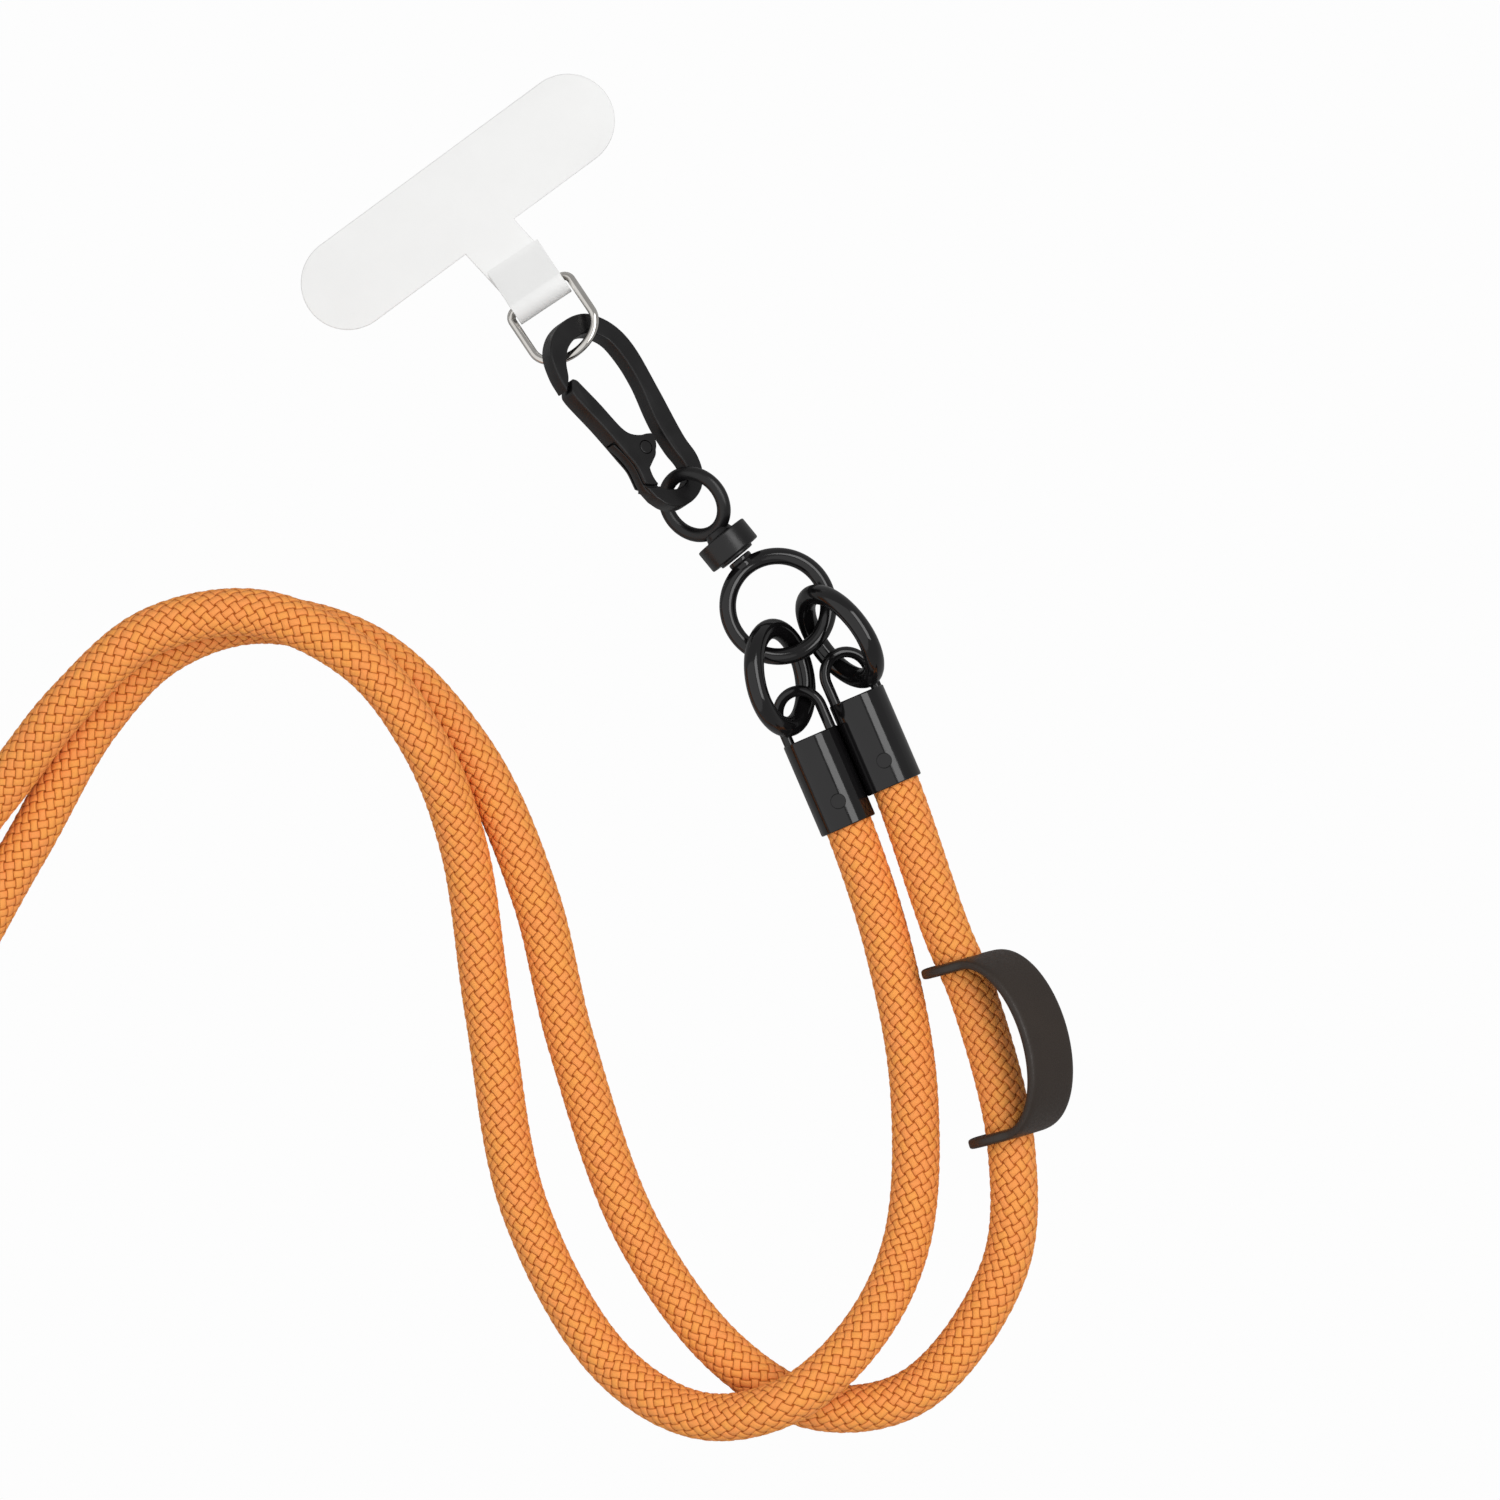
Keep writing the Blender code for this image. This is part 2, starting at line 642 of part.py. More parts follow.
# Tether tab: a long round-ended panel, and a neck that loops round the D-ring's bar
def build_tab():
    up = Vector((0, 0, 1))
    bar = heading(D_BAR_HEADING)
    along = heading(TAB_HEADING)
    loop_out = TAB_LOOP_R + TAB_THICK
    floor_at = Vector((d_bar_at().x, d_bar_at().y, 0))
    panel_at = floor_at + TAB_FROM_BAR
    frame = placed(floor_at, d_forward(), up)
    lift = Matrix.Translation((0, 0, TAB_THICK / 2))
    end_r = TAB_WIDTH / 2
    reach = TAB_LENGTH / 2 - end_r
    left = arc(Vector((-reach, 0, 0)), end_r, 0.5 * math.pi, 1.5 * math.pi, 14)
    right = arc(Vector((reach, 0, 0)), end_r, -0.5 * math.pi, 0.5 * math.pi, 14)
    sheet = plate("tether_tab", [[*left, *right]], TAB_THICK, TAB_EDGE)
    finished(sheet, TAB_WHITE, placed(panel_at, along, up) @ lift)

    half = TAB_NECK_WIDTH / 2
    fold_at = floor_at - d_forward() * TAB_FOLD / 2
    strip_outline = [
        fold_at - bar * half,
        fold_at + bar * half,
        panel_at + along * half,
        panel_at - along * half,
    ]
    strip = plate("tether_strip", [strip_outline], TAB_THICK, 0)
    add_to(sheet, strip, lift, TAB_WHITE)

    # the fold's side view, drawn in the plane of its length and height
    turn = Vector((0, D_BAR_Z, 0))
    low_z = D_BAR_Z - loop_out
    fold_outer = [
        Vector((-TAB_FOLD, 0, 0)),
        Vector((-TAB_FOLD, 1.4 * TAB_THICK, 0)),
        Vector((-TAB_FOLD + TAB_THICK, 2 * TAB_THICK, 0)),
        *arc(turn, loop_out, math.radians(110), math.radians(-90), 12),
        Vector((-2 * loop_out, 0, 0)),
    ]
    fold_hole = [
        Vector((-TAB_FOLD * 0.62, TAB_THICK + low_z * 0.3, 0)),
        *arc(turn, TAB_LOOP_R, math.radians(110), math.radians(-90), 12),
        Vector((-loop_out, TAB_THICK + low_z * 0.2, 0)),
    ]
    fold = plate("tether_fold", [fold_outer, fold_hole], TAB_NECK_WIDTH, 0)
    add_to(sheet, fold, frame @ Matrix.Rotation(math.pi / 2, 4, "X"), TAB_WHITE)


# Finger keeper: one strip, a round eyelet at each end, bowed out from the cord
def build_keeper():
    chord = heading(KEEPER_HEADING)
    out = Vector((0, 0, 1)).cross(chord)
    out = out * math.cos(KEEPER_LEAN) + Vector((0, 0, 1)) * math.sin(KEEPER_LEAN)
    frame = placed(KEEPER_AT, chord, out)
    disc_r = KEEPER_DISC_D / 2
    half = KEEPER_CHORD / 2
    bend = KEEPER_BOW - KEEPER_ARM
    path = [(-half, -disc_r * (1 - i / 5)) for i in range(5)]
    path += [(-half, KEEPER_ARM * i / 3) for i in range(3)]
    steps = 16
    for i in range(steps + 1):
        a = math.pi * i / steps
        s = -math.cos(a) * half
        h = KEEPER_ARM + math.sin(a) * bend
        path.append((s, h))
    path += [(half, KEEPER_ARM * (2 - i) / 3) for i in range(3)]
    path += [(half, -disc_r * (i + 1) / 5) for i in range(5)]

    def half_width(h):
        inside = max(disc_r**2 - h**2, (disc_r * 0.25) ** 2 if h < 0 else 0)
        round_end = math.sqrt(inside)
        return max(round_end, KEEPER_WIDTH / 2) if h > 0 else round_end

    bm = bmesh.new()
    rows = []
    across = 6
    for s, h in path:
        w = half_width(h)
        rows.append([bm.verts.new((s, w * (2 * j / across - 1), h)) for j in range(across + 1)])
    for a, b in zip(rows, rows[1:]):
        for j in range(across):
            bm.faces.new((a[j], a[j + 1], b[j + 1], b[j]))
    bmesh.ops.recalc_face_normals(bm, faces=bm.faces)
    keeper = from_bmesh("keeper", bm)
    finished(keeper, KEEPER_BROWN, frame)
    solid = keeper.modifiers.new("wall", "SOLIDIFY")
    solid.thickness = KEEPER_THICK
    solid.offset = 0
    hole = cylinder("keeper_holes", CORD_D + 2 * KEEPER_SLACK, KEEPER_CHORD + 4 * KEEPER_THICK, 24)
    cut_from(keeper, hole, frame @ Matrix.Translation((-half - 2 * KEEPER_THICK, 0, 0)), KEEPER_BROWN)


build_cord()
build_cap("cap_left", CAP_LEFT_TOP, BAIL_RISE_LEFT, BAIL_ROLL)
build_cap("cap_right", cap_right_top(), BAIL_RISE_RIGHT, -BAIL_ROLL)
build_link("link_left", LINK_LEFT_AT, LINK_LEFT_HEADING, LINK_LEFT_TILT)
build_link("link_right", LINK_RIGHT_AT, LINK_RIGHT_HEADING, LINK_RIGHT_TILT)
build_swivel()
build_hook()
build_d_ring()
build_tab()
build_keeper()
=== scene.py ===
"""Looks of the phone crossbody strap: braided cord, plated caps, links and swivel, snap hook,
D-ring, tether tab and finger keeper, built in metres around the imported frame."""

import math

import bmesh
import bpy
from mathutils import Matrix, Vector


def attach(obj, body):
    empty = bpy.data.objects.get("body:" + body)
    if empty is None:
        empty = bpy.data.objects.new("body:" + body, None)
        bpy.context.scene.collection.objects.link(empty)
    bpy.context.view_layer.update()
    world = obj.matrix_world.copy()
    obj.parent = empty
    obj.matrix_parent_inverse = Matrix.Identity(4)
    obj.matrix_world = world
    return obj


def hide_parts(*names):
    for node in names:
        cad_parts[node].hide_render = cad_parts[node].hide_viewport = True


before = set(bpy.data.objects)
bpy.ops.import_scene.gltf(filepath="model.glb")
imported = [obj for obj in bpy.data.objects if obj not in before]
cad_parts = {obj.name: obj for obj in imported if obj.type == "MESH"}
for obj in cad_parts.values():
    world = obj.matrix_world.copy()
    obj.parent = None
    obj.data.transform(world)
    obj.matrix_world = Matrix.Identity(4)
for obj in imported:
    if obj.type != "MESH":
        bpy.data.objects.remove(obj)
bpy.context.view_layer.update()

MM = 0.001
UP = Vector((0, 0, 1))

# Camera: straight above the photograph's centre, with a long lens
VIEW_AT = Vector((10.26, -23.79, 0)) * MM
VIEW_WIDTH = 258.6 * MM
VIEW_HEIGHT = 4.0
camera = bpy.data.objects.new("camera", bpy.data.cameras.new("camera"))
camera.data.sensor_width = 36
camera.data.lens = camera.data.sensor_width * VIEW_HEIGHT / VIEW_WIDTH
camera.data.clip_end = 2 * VIEW_HEIGHT
camera.location = VIEW_AT + UP * VIEW_HEIGHT
bpy.context.scene.collection.objects.link(camera)
bpy.context.scene.camera = camera

# Sizes and places that the CAD part has too
GAP = 0.3 * MM
CORD_D = 8.2 * MM
CORD_POINTS = 80
ROUTE_MM = [
    (21.6, -23.8, 4.9),
    (27.2, -36.6, 4.9),
    (33.9, -57.1, 4.1),
    (38.5, -82.6, 4.1),
    (37.2, -108.6, 4.4),
    (29.2, -124.8, 9.4),
    (16.6, -135.7, 12.9),
    (1.8, -138.3, 8.6),
    (-13.4, -129.5, 4.1),
    (-28.4, -103.1, 4.1),
    (-34.7, -69.5, 4.1),
    (-39.1, -40.2, 6.4),
    (-45.8, -22.6, 11.3),
    (-56.8, -8.4, 12.9),
    (-74.1, -0.3, 12.9),
    (-92.5, -3.4, 12.8),
    (-106.8, -15.7, 11.6),
    (-119.1, -31.2, 8.6),
    (-149.0, -67.0, 4.5),
    (-193.0, -90.0, 4.1),
    (-238.0, -76.0, 4.1),
    (-262.0, -34.0, 4.1),
    (-280.0, 0.0, 4.1),
    (-309.0, -12.0, 4.1),
    (-313.0, -60.0, 4.1),
    (-281.0, -104.0, 4.1),
    (-236.0, -128.0, 4.1),
    (-186.0, -124.0, 4.1),
    (-146.0, -92.0, 4.1),
    (-115.1, -41.6, 4.1),
    (-102.3, -19.1, 4.1),
    (-90.3, -6.6, 4.1),
    (-74.4, -1.4, 4.1),
    (-54.9, -6.6, 4.1),
    (-37.5, -24.8, 4.1),
    (-26.8, -48.8, 4.1),
    (-20.6, -74.0, 4.1),
    (-9.1, -106.7, 4.1),
    (6.6, -128.1, 4.1),
    (22.0, -136.9, 4.1),
    (38.7, -134.1, 4.1),
    (53.9, -113.4, 4.5),
    (55.2, -92.1, 7.3),
    (49.0, -66.9, 7.7),
    (44.0, -54.8, 6.8),
    (35.5, -30.2, 4.9),
    (29.9, -17.2, 4.9),
]
CAP_WALL = 0.61 * MM
CAP_D = CORD_D + 2 * (GAP + CAP_WALL)
CAP_LENGTH = 16.8 * MM
CAP_END_WALL = 1.5 * MM
CAP_HEADING = math.radians(-66.7)
CAP_LEFT_TOP = Vector((20.6, -21.4, 0)) * MM
CAP_SPACE = 0.0
CAP_STEP = 3.3 * MM
BAIL_D = 1.9 * MM
BAIL_ROLL = math.radians(19)
BAIL_RISE_LEFT = 9.12 * MM
BAIL_RISE_RIGHT = 8.8 * MM
DIMPLE_D = 2.7 * MM
DIMPLE_DEPTH = 0.3 * MM
DIMPLE_FROM_MOUTH = 4.6 * MM
LINK_OD = 20.6 * MM
LINK_WIRE = 3.5 * MM
LINK_LEFT_AT = Vector((15.4, -11.36, 9.22)) * MM
LINK_LEFT_HEADING = math.radians(-79.4)
LINK_LEFT_TILT = math.radians(-60.2)
LINK_RIGHT_AT = Vector((25.7, -4.24, 9.52)) * MM
LINK_RIGHT_HEADING = math.radians(-53.3)
LINK_RIGHT_TILT = math.radians(64.4)
SWIVEL_AT = Vector((15.09, 0.95, 6.38)) * MM
SWIVEL_HEADING = math.radians(-50.7)
SWIVEL_RISE = math.radians(1.3)
BIG_RING_OD = 20.3 * MM
BIG_RING_WIRE = 2.9 * MM
BIG_RING_ROLL = math.radians(-7.2)
SMALL_RING_OD = 13.8 * MM
SMALL_RING_WIRE = 2.4 * MM
SMALL_RING_ROLL = math.radians(35.9)
DRUM_D = 9.8 * MM
DRUM_LENGTH = 4.2 * MM
DRUM_FROM_RING = 13.6 * MM
BOSS_D = 5.2 * MM
BOSS_LENGTH = 1.3 * MM
COLLAR_D = 6.6 * MM
COLLAR_LENGTH = 0.5 * MM
NECK_D = 4.4 * MM
HOOK_AT = Vector((-8.782, 34.932, 4.71)) * MM
HOOK_HEADING = math.radians(-57.3)
HOOK_TILT = math.radians(38.25)
HOOK_LENGTH = 38.1 * MM
HOOK_WIDTH = 17.3 * MM
HOOK_THICK = 3.1 * MM
GATE_THICK = 3.8 * MM
GATE_CHEEK = 0.6 * MM
CAST_EDGE = 0.3 * MM
GATE_SEAM = 0.065
SHOULDER_R = 0.1877 * HOOK_LENGTH
SHOULDER_FROM = math.radians(-37)
SHOULDER_TO = math.radians(-14)
PIN_D = 2.3 * MM
PIN_U = 0.162
PIN_V = -0.276
TANG_HEAD_R = 0.068 * HOOK_LENGTH
HOOK_OUTER = [
    (-0.242, -0.712),
    (-0.325, -0.703),
    (-0.430, -0.624),
    (-0.496, -0.450),
    (-0.518, -0.215),
    (-0.496, 0.012),
    (-0.432, 0.172),
    (-0.352, 0.270),
    (-0.250, 0.311),
    (-0.032, 0.280),
    (0.215, 0.229),
    (0.313, 0.239),
    (0.395, 0.182),
    (0.455, 0.050),
    (0.480, -0.124),
    (0.472, -0.290),
    (0.433, -0.420),
    (0.380, -0.492),
]
HOOK_INNER = [
    (0.372, -0.320),
    (0.397, -0.200),
    (0.396, -0.090),
    (0.370, 0.010),
    (0.313, 0.046),
    (0.234, 0.025),
    (0.121, 0.026),
    (0.044, 0.049),
    (-0.105, 0.114),
    (-0.238, 0.121),
    (-0.341, 0.072),
    (-0.408, -0.070),
    (-0.424, -0.215),
    (-0.403, -0.400),
    (-0.350, -0.525),
    (-0.289, -0.602),
    (-0.252, -0.680),
]
TANG_OUTER = [
    (0.400, -0.440),
    (0.330, -0.530),
    (0.213, -0.500),
    (0.147, -0.520),
    (0.075, -0.575),
]
TANG_INNER = [
    (0.255, -0.350),
    (0.330, -0.375),
    (0.400, -0.330),
]
GATE_OUTER = [
    (0.298, -0.527),
    (0.213, -0.500),
    (0.146, -0.523),
    (-0.024, -0.592),
    (-0.201, -0.682),
    (-0.226, -0.680),
    (-0.250, -0.640),
    (-0.273, -0.590),
    (-0.262, -0.555),
]
GATE_INNER = [
    (-0.254, -0.545),
    (-0.122, -0.470),
    (0.045, -0.385),
    (0.078, -0.330),
    (0.102, -0.245),
    (0.112, -0.165),
    (0.126, -0.110),
    (0.160, -0.120),
    (0.190, -0.165),
    (0.213, -0.250),
    (0.243, -0.355),
    (0.286, -0.390),
    (0.320, -0.393),
]
D_BAR_AT = Vector((-26.342, 54.745, 3.03)) * MM
D_BAR_HEADING = math.radians(33.7)
D_RISE = math.radians(21.9)
D_ROLL = math.radians(6.85)
D_WIRE = 1.5 * MM
D_HALF_WIDTH = 6.27 * MM
D_SIDE = 8.32 * MM
D_DEPTH = 13.0 * MM
D_CORNER = 1.5 * MM
TAB_THICK = 0.9 * MM
TAB_LENGTH = 63.3 * MM
TAB_WIDTH = 16.2 * MM
TAB_AT = Vector((-40.102, 70.695, 0)) * MM
TAB_HEADING = math.radians(36.4)
TAB_NECK_WIDTH = 10.4 * MM
TAB_LOOP_R = 1.98 * MM
TAB_FOLD = 8.0 * MM
KEEPER_AT = Vector((50.6, -75.3, 7.25)) * MM
KEEPER_HEADING = math.radians(-74.5)
KEEPER_LEAN = math.radians(43)
KEEPER_CHORD = 30.3 * MM
KEEPER_BOW = 14.4 * MM
KEEPER_WIDTH = 11 * MM
KEEPER_THICK = 1.9 * MM
KEEPER_DISC_D = 14 * MM
KEEPER_ARM = 4.2 * MM
KEEPER_SLACK = 0.6 * MM

# Braid: strands that wind steeply and strands that wind flatly, as counted round the cord in
# the photo, so that the square crossings between them stand askew to the cord
STEEP_STRANDS = 13
FLAT_STRANDS = 9
BRAID_CELL = math.pi * CORD_D / math.hypot(STEEP_STRANDS, FLAT_STRANDS)
BRAID_LEAN = math.atan2(STEEP_STRANDS, FLAT_STRANDS)
STRAND_WIDTH = 0.86 * BRAID_CELL
STRAND_SHOWN = 1.36 * BRAID_CELL
CORE_R = 3.78 * MM
STRAND_LOW = 3.66 * MM
STRAND_TOP = 4.16 * MM
BRAID_PARTS = 4


def linear(code):
    """A colour written as hex, as linear red, green, blue and alpha."""
    shares = [int(code[i : i + 2], 16) / 255 for i in (1, 3, 5)]
    return (*(s / 12.92 if s <= 0.04045 else ((s + 0.055) / 1.055) ** 2.4 for s in shares), 1)


def node(tree, kind, inputs=None, **settings):
    """Adds a node; an input is a plain value or another node's output socket."""
    made = tree.nodes.new(kind)
    for key, value in settings.items():
        setattr(made, key, value)
    for key, value in (inputs or {}).items():
        if isinstance(value, bpy.types.NodeSocket):
            tree.links.new(value, made.inputs[key])
        else:
            made.inputs[key].default_value = value
    return made


def new_material(name):
    made = bpy.data.materials.new(name)
    made.use_nodes = True
    return made, made.node_tree, made.node_tree.nodes["Principled BSDF"]


def mixed(tree, factor, low, high):
    """A colour between two, by a factor."""
    mix = node(tree, "ShaderNodeMix", data_type="RGBA")
    tree.links.new(factor, mix.inputs[0])
    for slot, value in ((6, low), (7, high)):
        if isinstance(value, bpy.types.NodeSocket):
            tree.links.new(value, mix.inputs[slot])
        else:
            mix.inputs[slot].default_value = value
    return mix.outputs[2]


def ranged(tree, value, low, high, to_low, to_high):
    return node(
        tree,
        "ShaderNodeMapRange",
        {"Value": value, "From Min": low, "From Max": high, "To Min": to_low, "To Max": to_high},
        interpolation_type="SMOOTHSTEP",
    ).outputs[0]


def object_noise(tree, scale, detail=2.0, stretch=None):
    place = node(tree, "ShaderNodeTexCoord").outputs["Object"]
    if stretch:
        place = node(tree, "ShaderNodeMapping", {"Vector": place, "Scale": stretch}).outputs[0]
    return node(tree, "ShaderNodeTexNoise", {"Vector": place, "Scale": scale, "Detail": detail}).outputs["Fac"]


def bumped(tree, shader, height, distance, strength=1.0):
    bump = node(tree, "ShaderNodeBump", {"Height": height, "Distance": distance, "Strength": strength})
    tree.links.new(bump.outputs[0], shader.inputs["Normal"])


# Polyester yarn, plaited over a core: flat bundles of filaments, with painted shade darkening each bundle
# towards the grooves
def braid_material():
    made, tree, shader = new_material("plaited_polyester_yarn")
    tint = node(tree, "ShaderNodeAttribute", attribute_name="tint").outputs["Fac"]
    place = node(tree, "ShaderNodeAttribute", attribute_name="strand").outputs["Vector"]
    parts = node(tree, "ShaderNodeSeparateXYZ", {"Vector": place})
    bundle = mixed(tree, tint, linear("#FF974A"), linear("#FFA147"))
    lines = node(tree, "ShaderNodeMapping", {"Vector": place, "Scale": (0.6, 9, 1)}).outputs[0]
    threads = node(tree, "ShaderNodeTexNoise", {"Vector": lines, "Scale": 2.2, "Detail": 3.0}).outputs["Fac"]
    shade = ranged(tree, threads, 0.3, 0.75, 0.0, 1.0)
    threaded = mixed(tree, shade, bundle, mixed(tree, tint, linear("#FFAA60"), linear("#FFB05A")))
    across = node(tree, "ShaderNodeMath", {0: parts.outputs[1]}, operation="ABSOLUTE").outputs[0]
    along = node(tree, "ShaderNodeMath", {0: parts.outputs[0]}, operation="ABSOLUTE").outputs[0]
    # painted shade: each bundle's colour darkens towards its sides and ends, where it dives under its
    # neighbours into the grooves
    side = ranged(tree, across, 0.70, 0.96, 0.0, 1.0)
    end = ranged(tree, along, 0.76, 0.94, 0.0, 1.0)
    edge = node(tree, "ShaderNodeMath", {0: side, 1: end}, operation="MAXIMUM").outputs[0]
    colour = mixed(tree, edge, threaded, linear("#B05610"))
    tree.links.new(colour, shader.inputs["Base Color"])
    shader.inputs["Roughness"].default_value = 0.62
    shader.inputs["Sheen Weight"].default_value = 0.07
    shader.inputs["Sheen Roughness"].default_value = 0.45
    shader.inputs["Sheen Tint"].default_value = linear("#FFC48A")
    shader.inputs["Specular IOR Level"].default_value = 0.3
    bumped(tree, shader, threads, 0.00006, 0.7)
    return made


# The yarn deep in the grooves, coloured darker than the bundles as painted shade
def core_material():
    made, tree, shader = new_material("plaited_polyester_groove")
    noise = object_noise(tree, 900.0)
    tree.links.new(
        mixed(tree, noise, linear("#B8601A"), linear("#C46C22")), shader.inputs["Base Color"]
    )
    shader.inputs["Roughness"].default_value = 0.85
    shader.inputs["Specular IOR Level"].default_value = 0.2
    bumped(tree, shader, noise, 0.0001)
    return made


# Zinc alloy, die cast, polished and plated glossy black
def gloss_material():
    made, tree, shader = new_material("black_plated_polished_zinc")
    cloud = object_noise(tree, 160.0, 3.0)
    fine = object_noise(tree, 1400.0, 2.0)
    tree.links.new(mixed(tree, cloud, linear("#0D0C0D"), linear("#151415")), shader.inputs["Base Color"])
    tree.links.new(ranged(tree, cloud, 0.3, 0.7, 0.08, 0.14), shader.inputs["Roughness"])
    shader.inputs["Specular IOR Level"].default_value = 0.5
    bumped(tree, shader, fine, 0.000012, 0.5)
    return made


# Zinc alloy, die cast and tumbled, with a satin black coating
def satin_material():
    made, tree, shader = new_material("black_coated_tumbled_zinc")
    cloud = object_noise(tree, 220.0, 4.0)
    grain = object_noise(tree, 3200.0, 2.0)
    tree.links.new(mixed(tree, cloud, linear("#0D0C0D"), linear("#141314")), shader.inputs["Base Color"])
    tree.links.new(ranged(tree, cloud, 0.3, 0.7, 0.26, 0.38), shader.inputs["Roughness"])
    shader.inputs["Specular IOR Level"].default_value = 0.45
    bumped(tree, shader, grain, 0.00001, 0.6)
    return made


# Steel wire, bent, welded and polished
def steel_material():
    made, tree, shader = new_material("polished_steel_wire")
    cloud = object_noise(tree, 300.0, 3.0)
    tree.links.new(mixed(tree, cloud, linear("#D4CFC8"), linear("#EAE8E4")), shader.inputs["Base Color"])
    tree.links.new(ranged(tree, cloud, 0.3, 0.7, 0.07, 0.14), shader.inputs["Roughness"])
    shader.inputs["Metallic"].default_value = 1.0
    bumped(tree, shader, object_noise(tree, 2500.0), 0.000006, 0.5)
    return made


# Flexible plastic sheet, die cut, with a smooth matt face
def tab_material():
    made, tree, shader = new_material("white_matt_plastic_sheet")
    cloud = object_noise(tree, 90.0, 3.0)
    tree.links.new(mixed(tree, cloud, linear("#EEEEED"), linear("#F4F4F3")), shader.inputs["Base Color"])
    tree.links.new(ranged(tree, cloud, 0.3, 0.7, 0.42, 0.52), shader.inputs["Roughness"])
    shader.inputs["Subsurface Weight"].default_value = 0.15
    shader.inputs["Subsurface Radius"].default_value = (0.001, 0.001, 0.001)
    bumped(tree, shader, object_noise(tree, 1800.0), 0.00001, 0.6)
    return made


# Dark brown rubber, moulded, with a fine grain
def keeper_material():
    made, tree, shader = new_material("dark_brown_moulded_rubber")
    cloud = object_noise(tree, 120.0, 3.0)
    grain = object_noise(tree, 2600.0, 3.0)
    tree.links.new(mixed(tree, cloud, linear("#251B14"), linear("#30261E")), shader.inputs["Base Color"])
    tree.links.new(ranged(tree, grain, 0.3, 0.7, 0.42, 0.6), shader.inputs["Roughness"])
    bumped(tree, shader, grain, 0.00003, 0.8)
    return made


BRAID = braid_material()
CORE = core_material()
GLOSS = gloss_material()
SATIN = satin_material()
STEEL = steel_material()
TAB = tab_material()
RUBBER = keeper_material()


def smooth(points, steps):
    """A smooth run through the points, with that many steps from one to the next."""
    run = [2 * points[0] - points[1], *points, 2 * points[-1] - points[-2]]
    made = []
    for before, start, end, after in zip(run, run[1:], run[2:], run[3:]):
        d0 = math.sqrt((start - before).length)
        d1 = math.sqrt((end - start).length)
        d2 = math.sqrt((after - end).length)
        leave = d1 * ((start - before) / d0 - (end - before) / (d0 + d1)) + (end - start)
        arrive = d1 * ((after - end) / d2 - (after - start) / (d1 + d2)) + (end - start)
        for i in range(steps):
            t = i / steps
            made.append(
                (2 * t**3 - 3 * t**2 + 1) * start
                + (t**3 - 2 * t**2 + t) * leave
                + (3 * t**2 - 2 * t**3) * end
                + (t**3 - t**2) * arrive
            )
    return [*made, points[-1]]


def run_length(points):
    return sum((b - a).length for a, b in zip(points, points[1:]))


def placed(at, along, up=UP):
    """A matrix at a point, with its X along one direction and its Z as near as can be to another."""
    x = along.normalized()
    y = up.cross(x).normalized()
    z = x.cross(y)
    return Matrix.Translation(at) @ Matrix((x, y, z)).transposed().to_4x4()


def heading(angle, rise=0.0):
    return Vector((math.cos(angle) * math.cos(rise), math.sin(angle) * math.cos(rise), math.sin(rise)))


def arc(centre, radius, start, end, steps):
    return [
        centre + radius * Vector((math.cos(a), math.sin(a), 0))
        for a in (start + (end - start) * i / steps for i in range(steps + 1))
    ]


def show(obj):
    bpy.context.scene.collection.objects.link(obj)
    return obj


def as_object(name, bm, matrix=None):
    """A mesh object from a bmesh, with its place in its mesh and its faces outward."""
    bmesh.ops.remove_doubles(bm, verts=bm.verts, dist=1e-7)
    bmesh.ops.recalc_face_normals(bm, faces=bm.faces)
    mesh = bpy.data.meshes.new(name)
    bm.to_mesh(mesh)
    bm.free()
    if matrix is not None:
        mesh.transform(matrix)
    return show(bpy.data.objects.new(name, mesh))


def applied(obj):
    """Puts an object's modifiers into its mesh."""
    bpy.context.view_layer.update()
    graph = bpy.context.evaluated_depsgraph_get()
    mesh = bpy.data.meshes.new_from_object(obj.evaluated_get(graph))
    name = obj.name
    bpy.data.objects.remove(obj)
    return show(bpy.data.objects.new(name, mesh))


def from_curve(name, curve, matrix=None):
    maker = applied(show(bpy.data.objects.new(name + "_curve", curve)))
    bm = bmesh.new()
    bm.from_mesh(maker.data)
    bpy.data.objects.remove(maker)
    return as_object(name, bm, matrix)


def add_run(curve, points, cyclic):
    spline = curve.splines.new("POLY")
    spline.points.add(len(points) - 1)
    for slot, point in zip(spline.points, points):
        slot.co = (*point, 1)
    spline.use_cyclic_u = cyclic


def wire(name, points, diameter, matrix=None, cyclic=False, resolution=7):
    curve = bpy.data.curves.new(name, "CURVE")
    curve.dimensions = "3D"
    curve.bevel_depth = diameter / 2
    curve.bevel_resolution = resolution
    curve.use_fill_caps = not cyclic
    add_run(curve, points, cyclic)
    return from_curve(name, curve, matrix)


def plate(name, outlines, thick, edge, matrix=None, edge_steps=3):
    """A flat plate about z = 0 with the outlines given, the later ones as holes, and round edges."""
    curve = bpy.data.curves.new(name, "CURVE")
    curve.dimensions = "2D"
    curve.fill_mode = "BOTH"
    curve.extrude = thick / 2 - edge
    if edge:
        curve.bevel_depth = edge
        curve.bevel_resolution = edge_steps
        curve.offset = -edge
    for outline in outlines:
        add_run(curve, [Vector((p.x, p.y, 0)) for p in outline], True)
    return from_curve(name, curve, matrix)


def rounded(profile, radius, steps=4):
    """A side view of (x, r) points with each inner corner rounded."""
    points = [Vector(p) for p in profile]
    made = [points[0]]
    for before, corner, after in zip(points, points[1:], points[2:]):
        leave = (before - corner).normalized()
        enter = (after - corner).normalized()
        reach = min(radius, (before - corner).length * 0.49, (after - corner).length * 0.49)
        start = corner + leave * reach
        end = corner + enter * reach
        for i in range(steps + 1):
            t = i / steps
            made.append((1 - t) ** 2 * start + 2 * t * (1 - t) * corner + t**2 * end)
    return [*made, points[-1]]


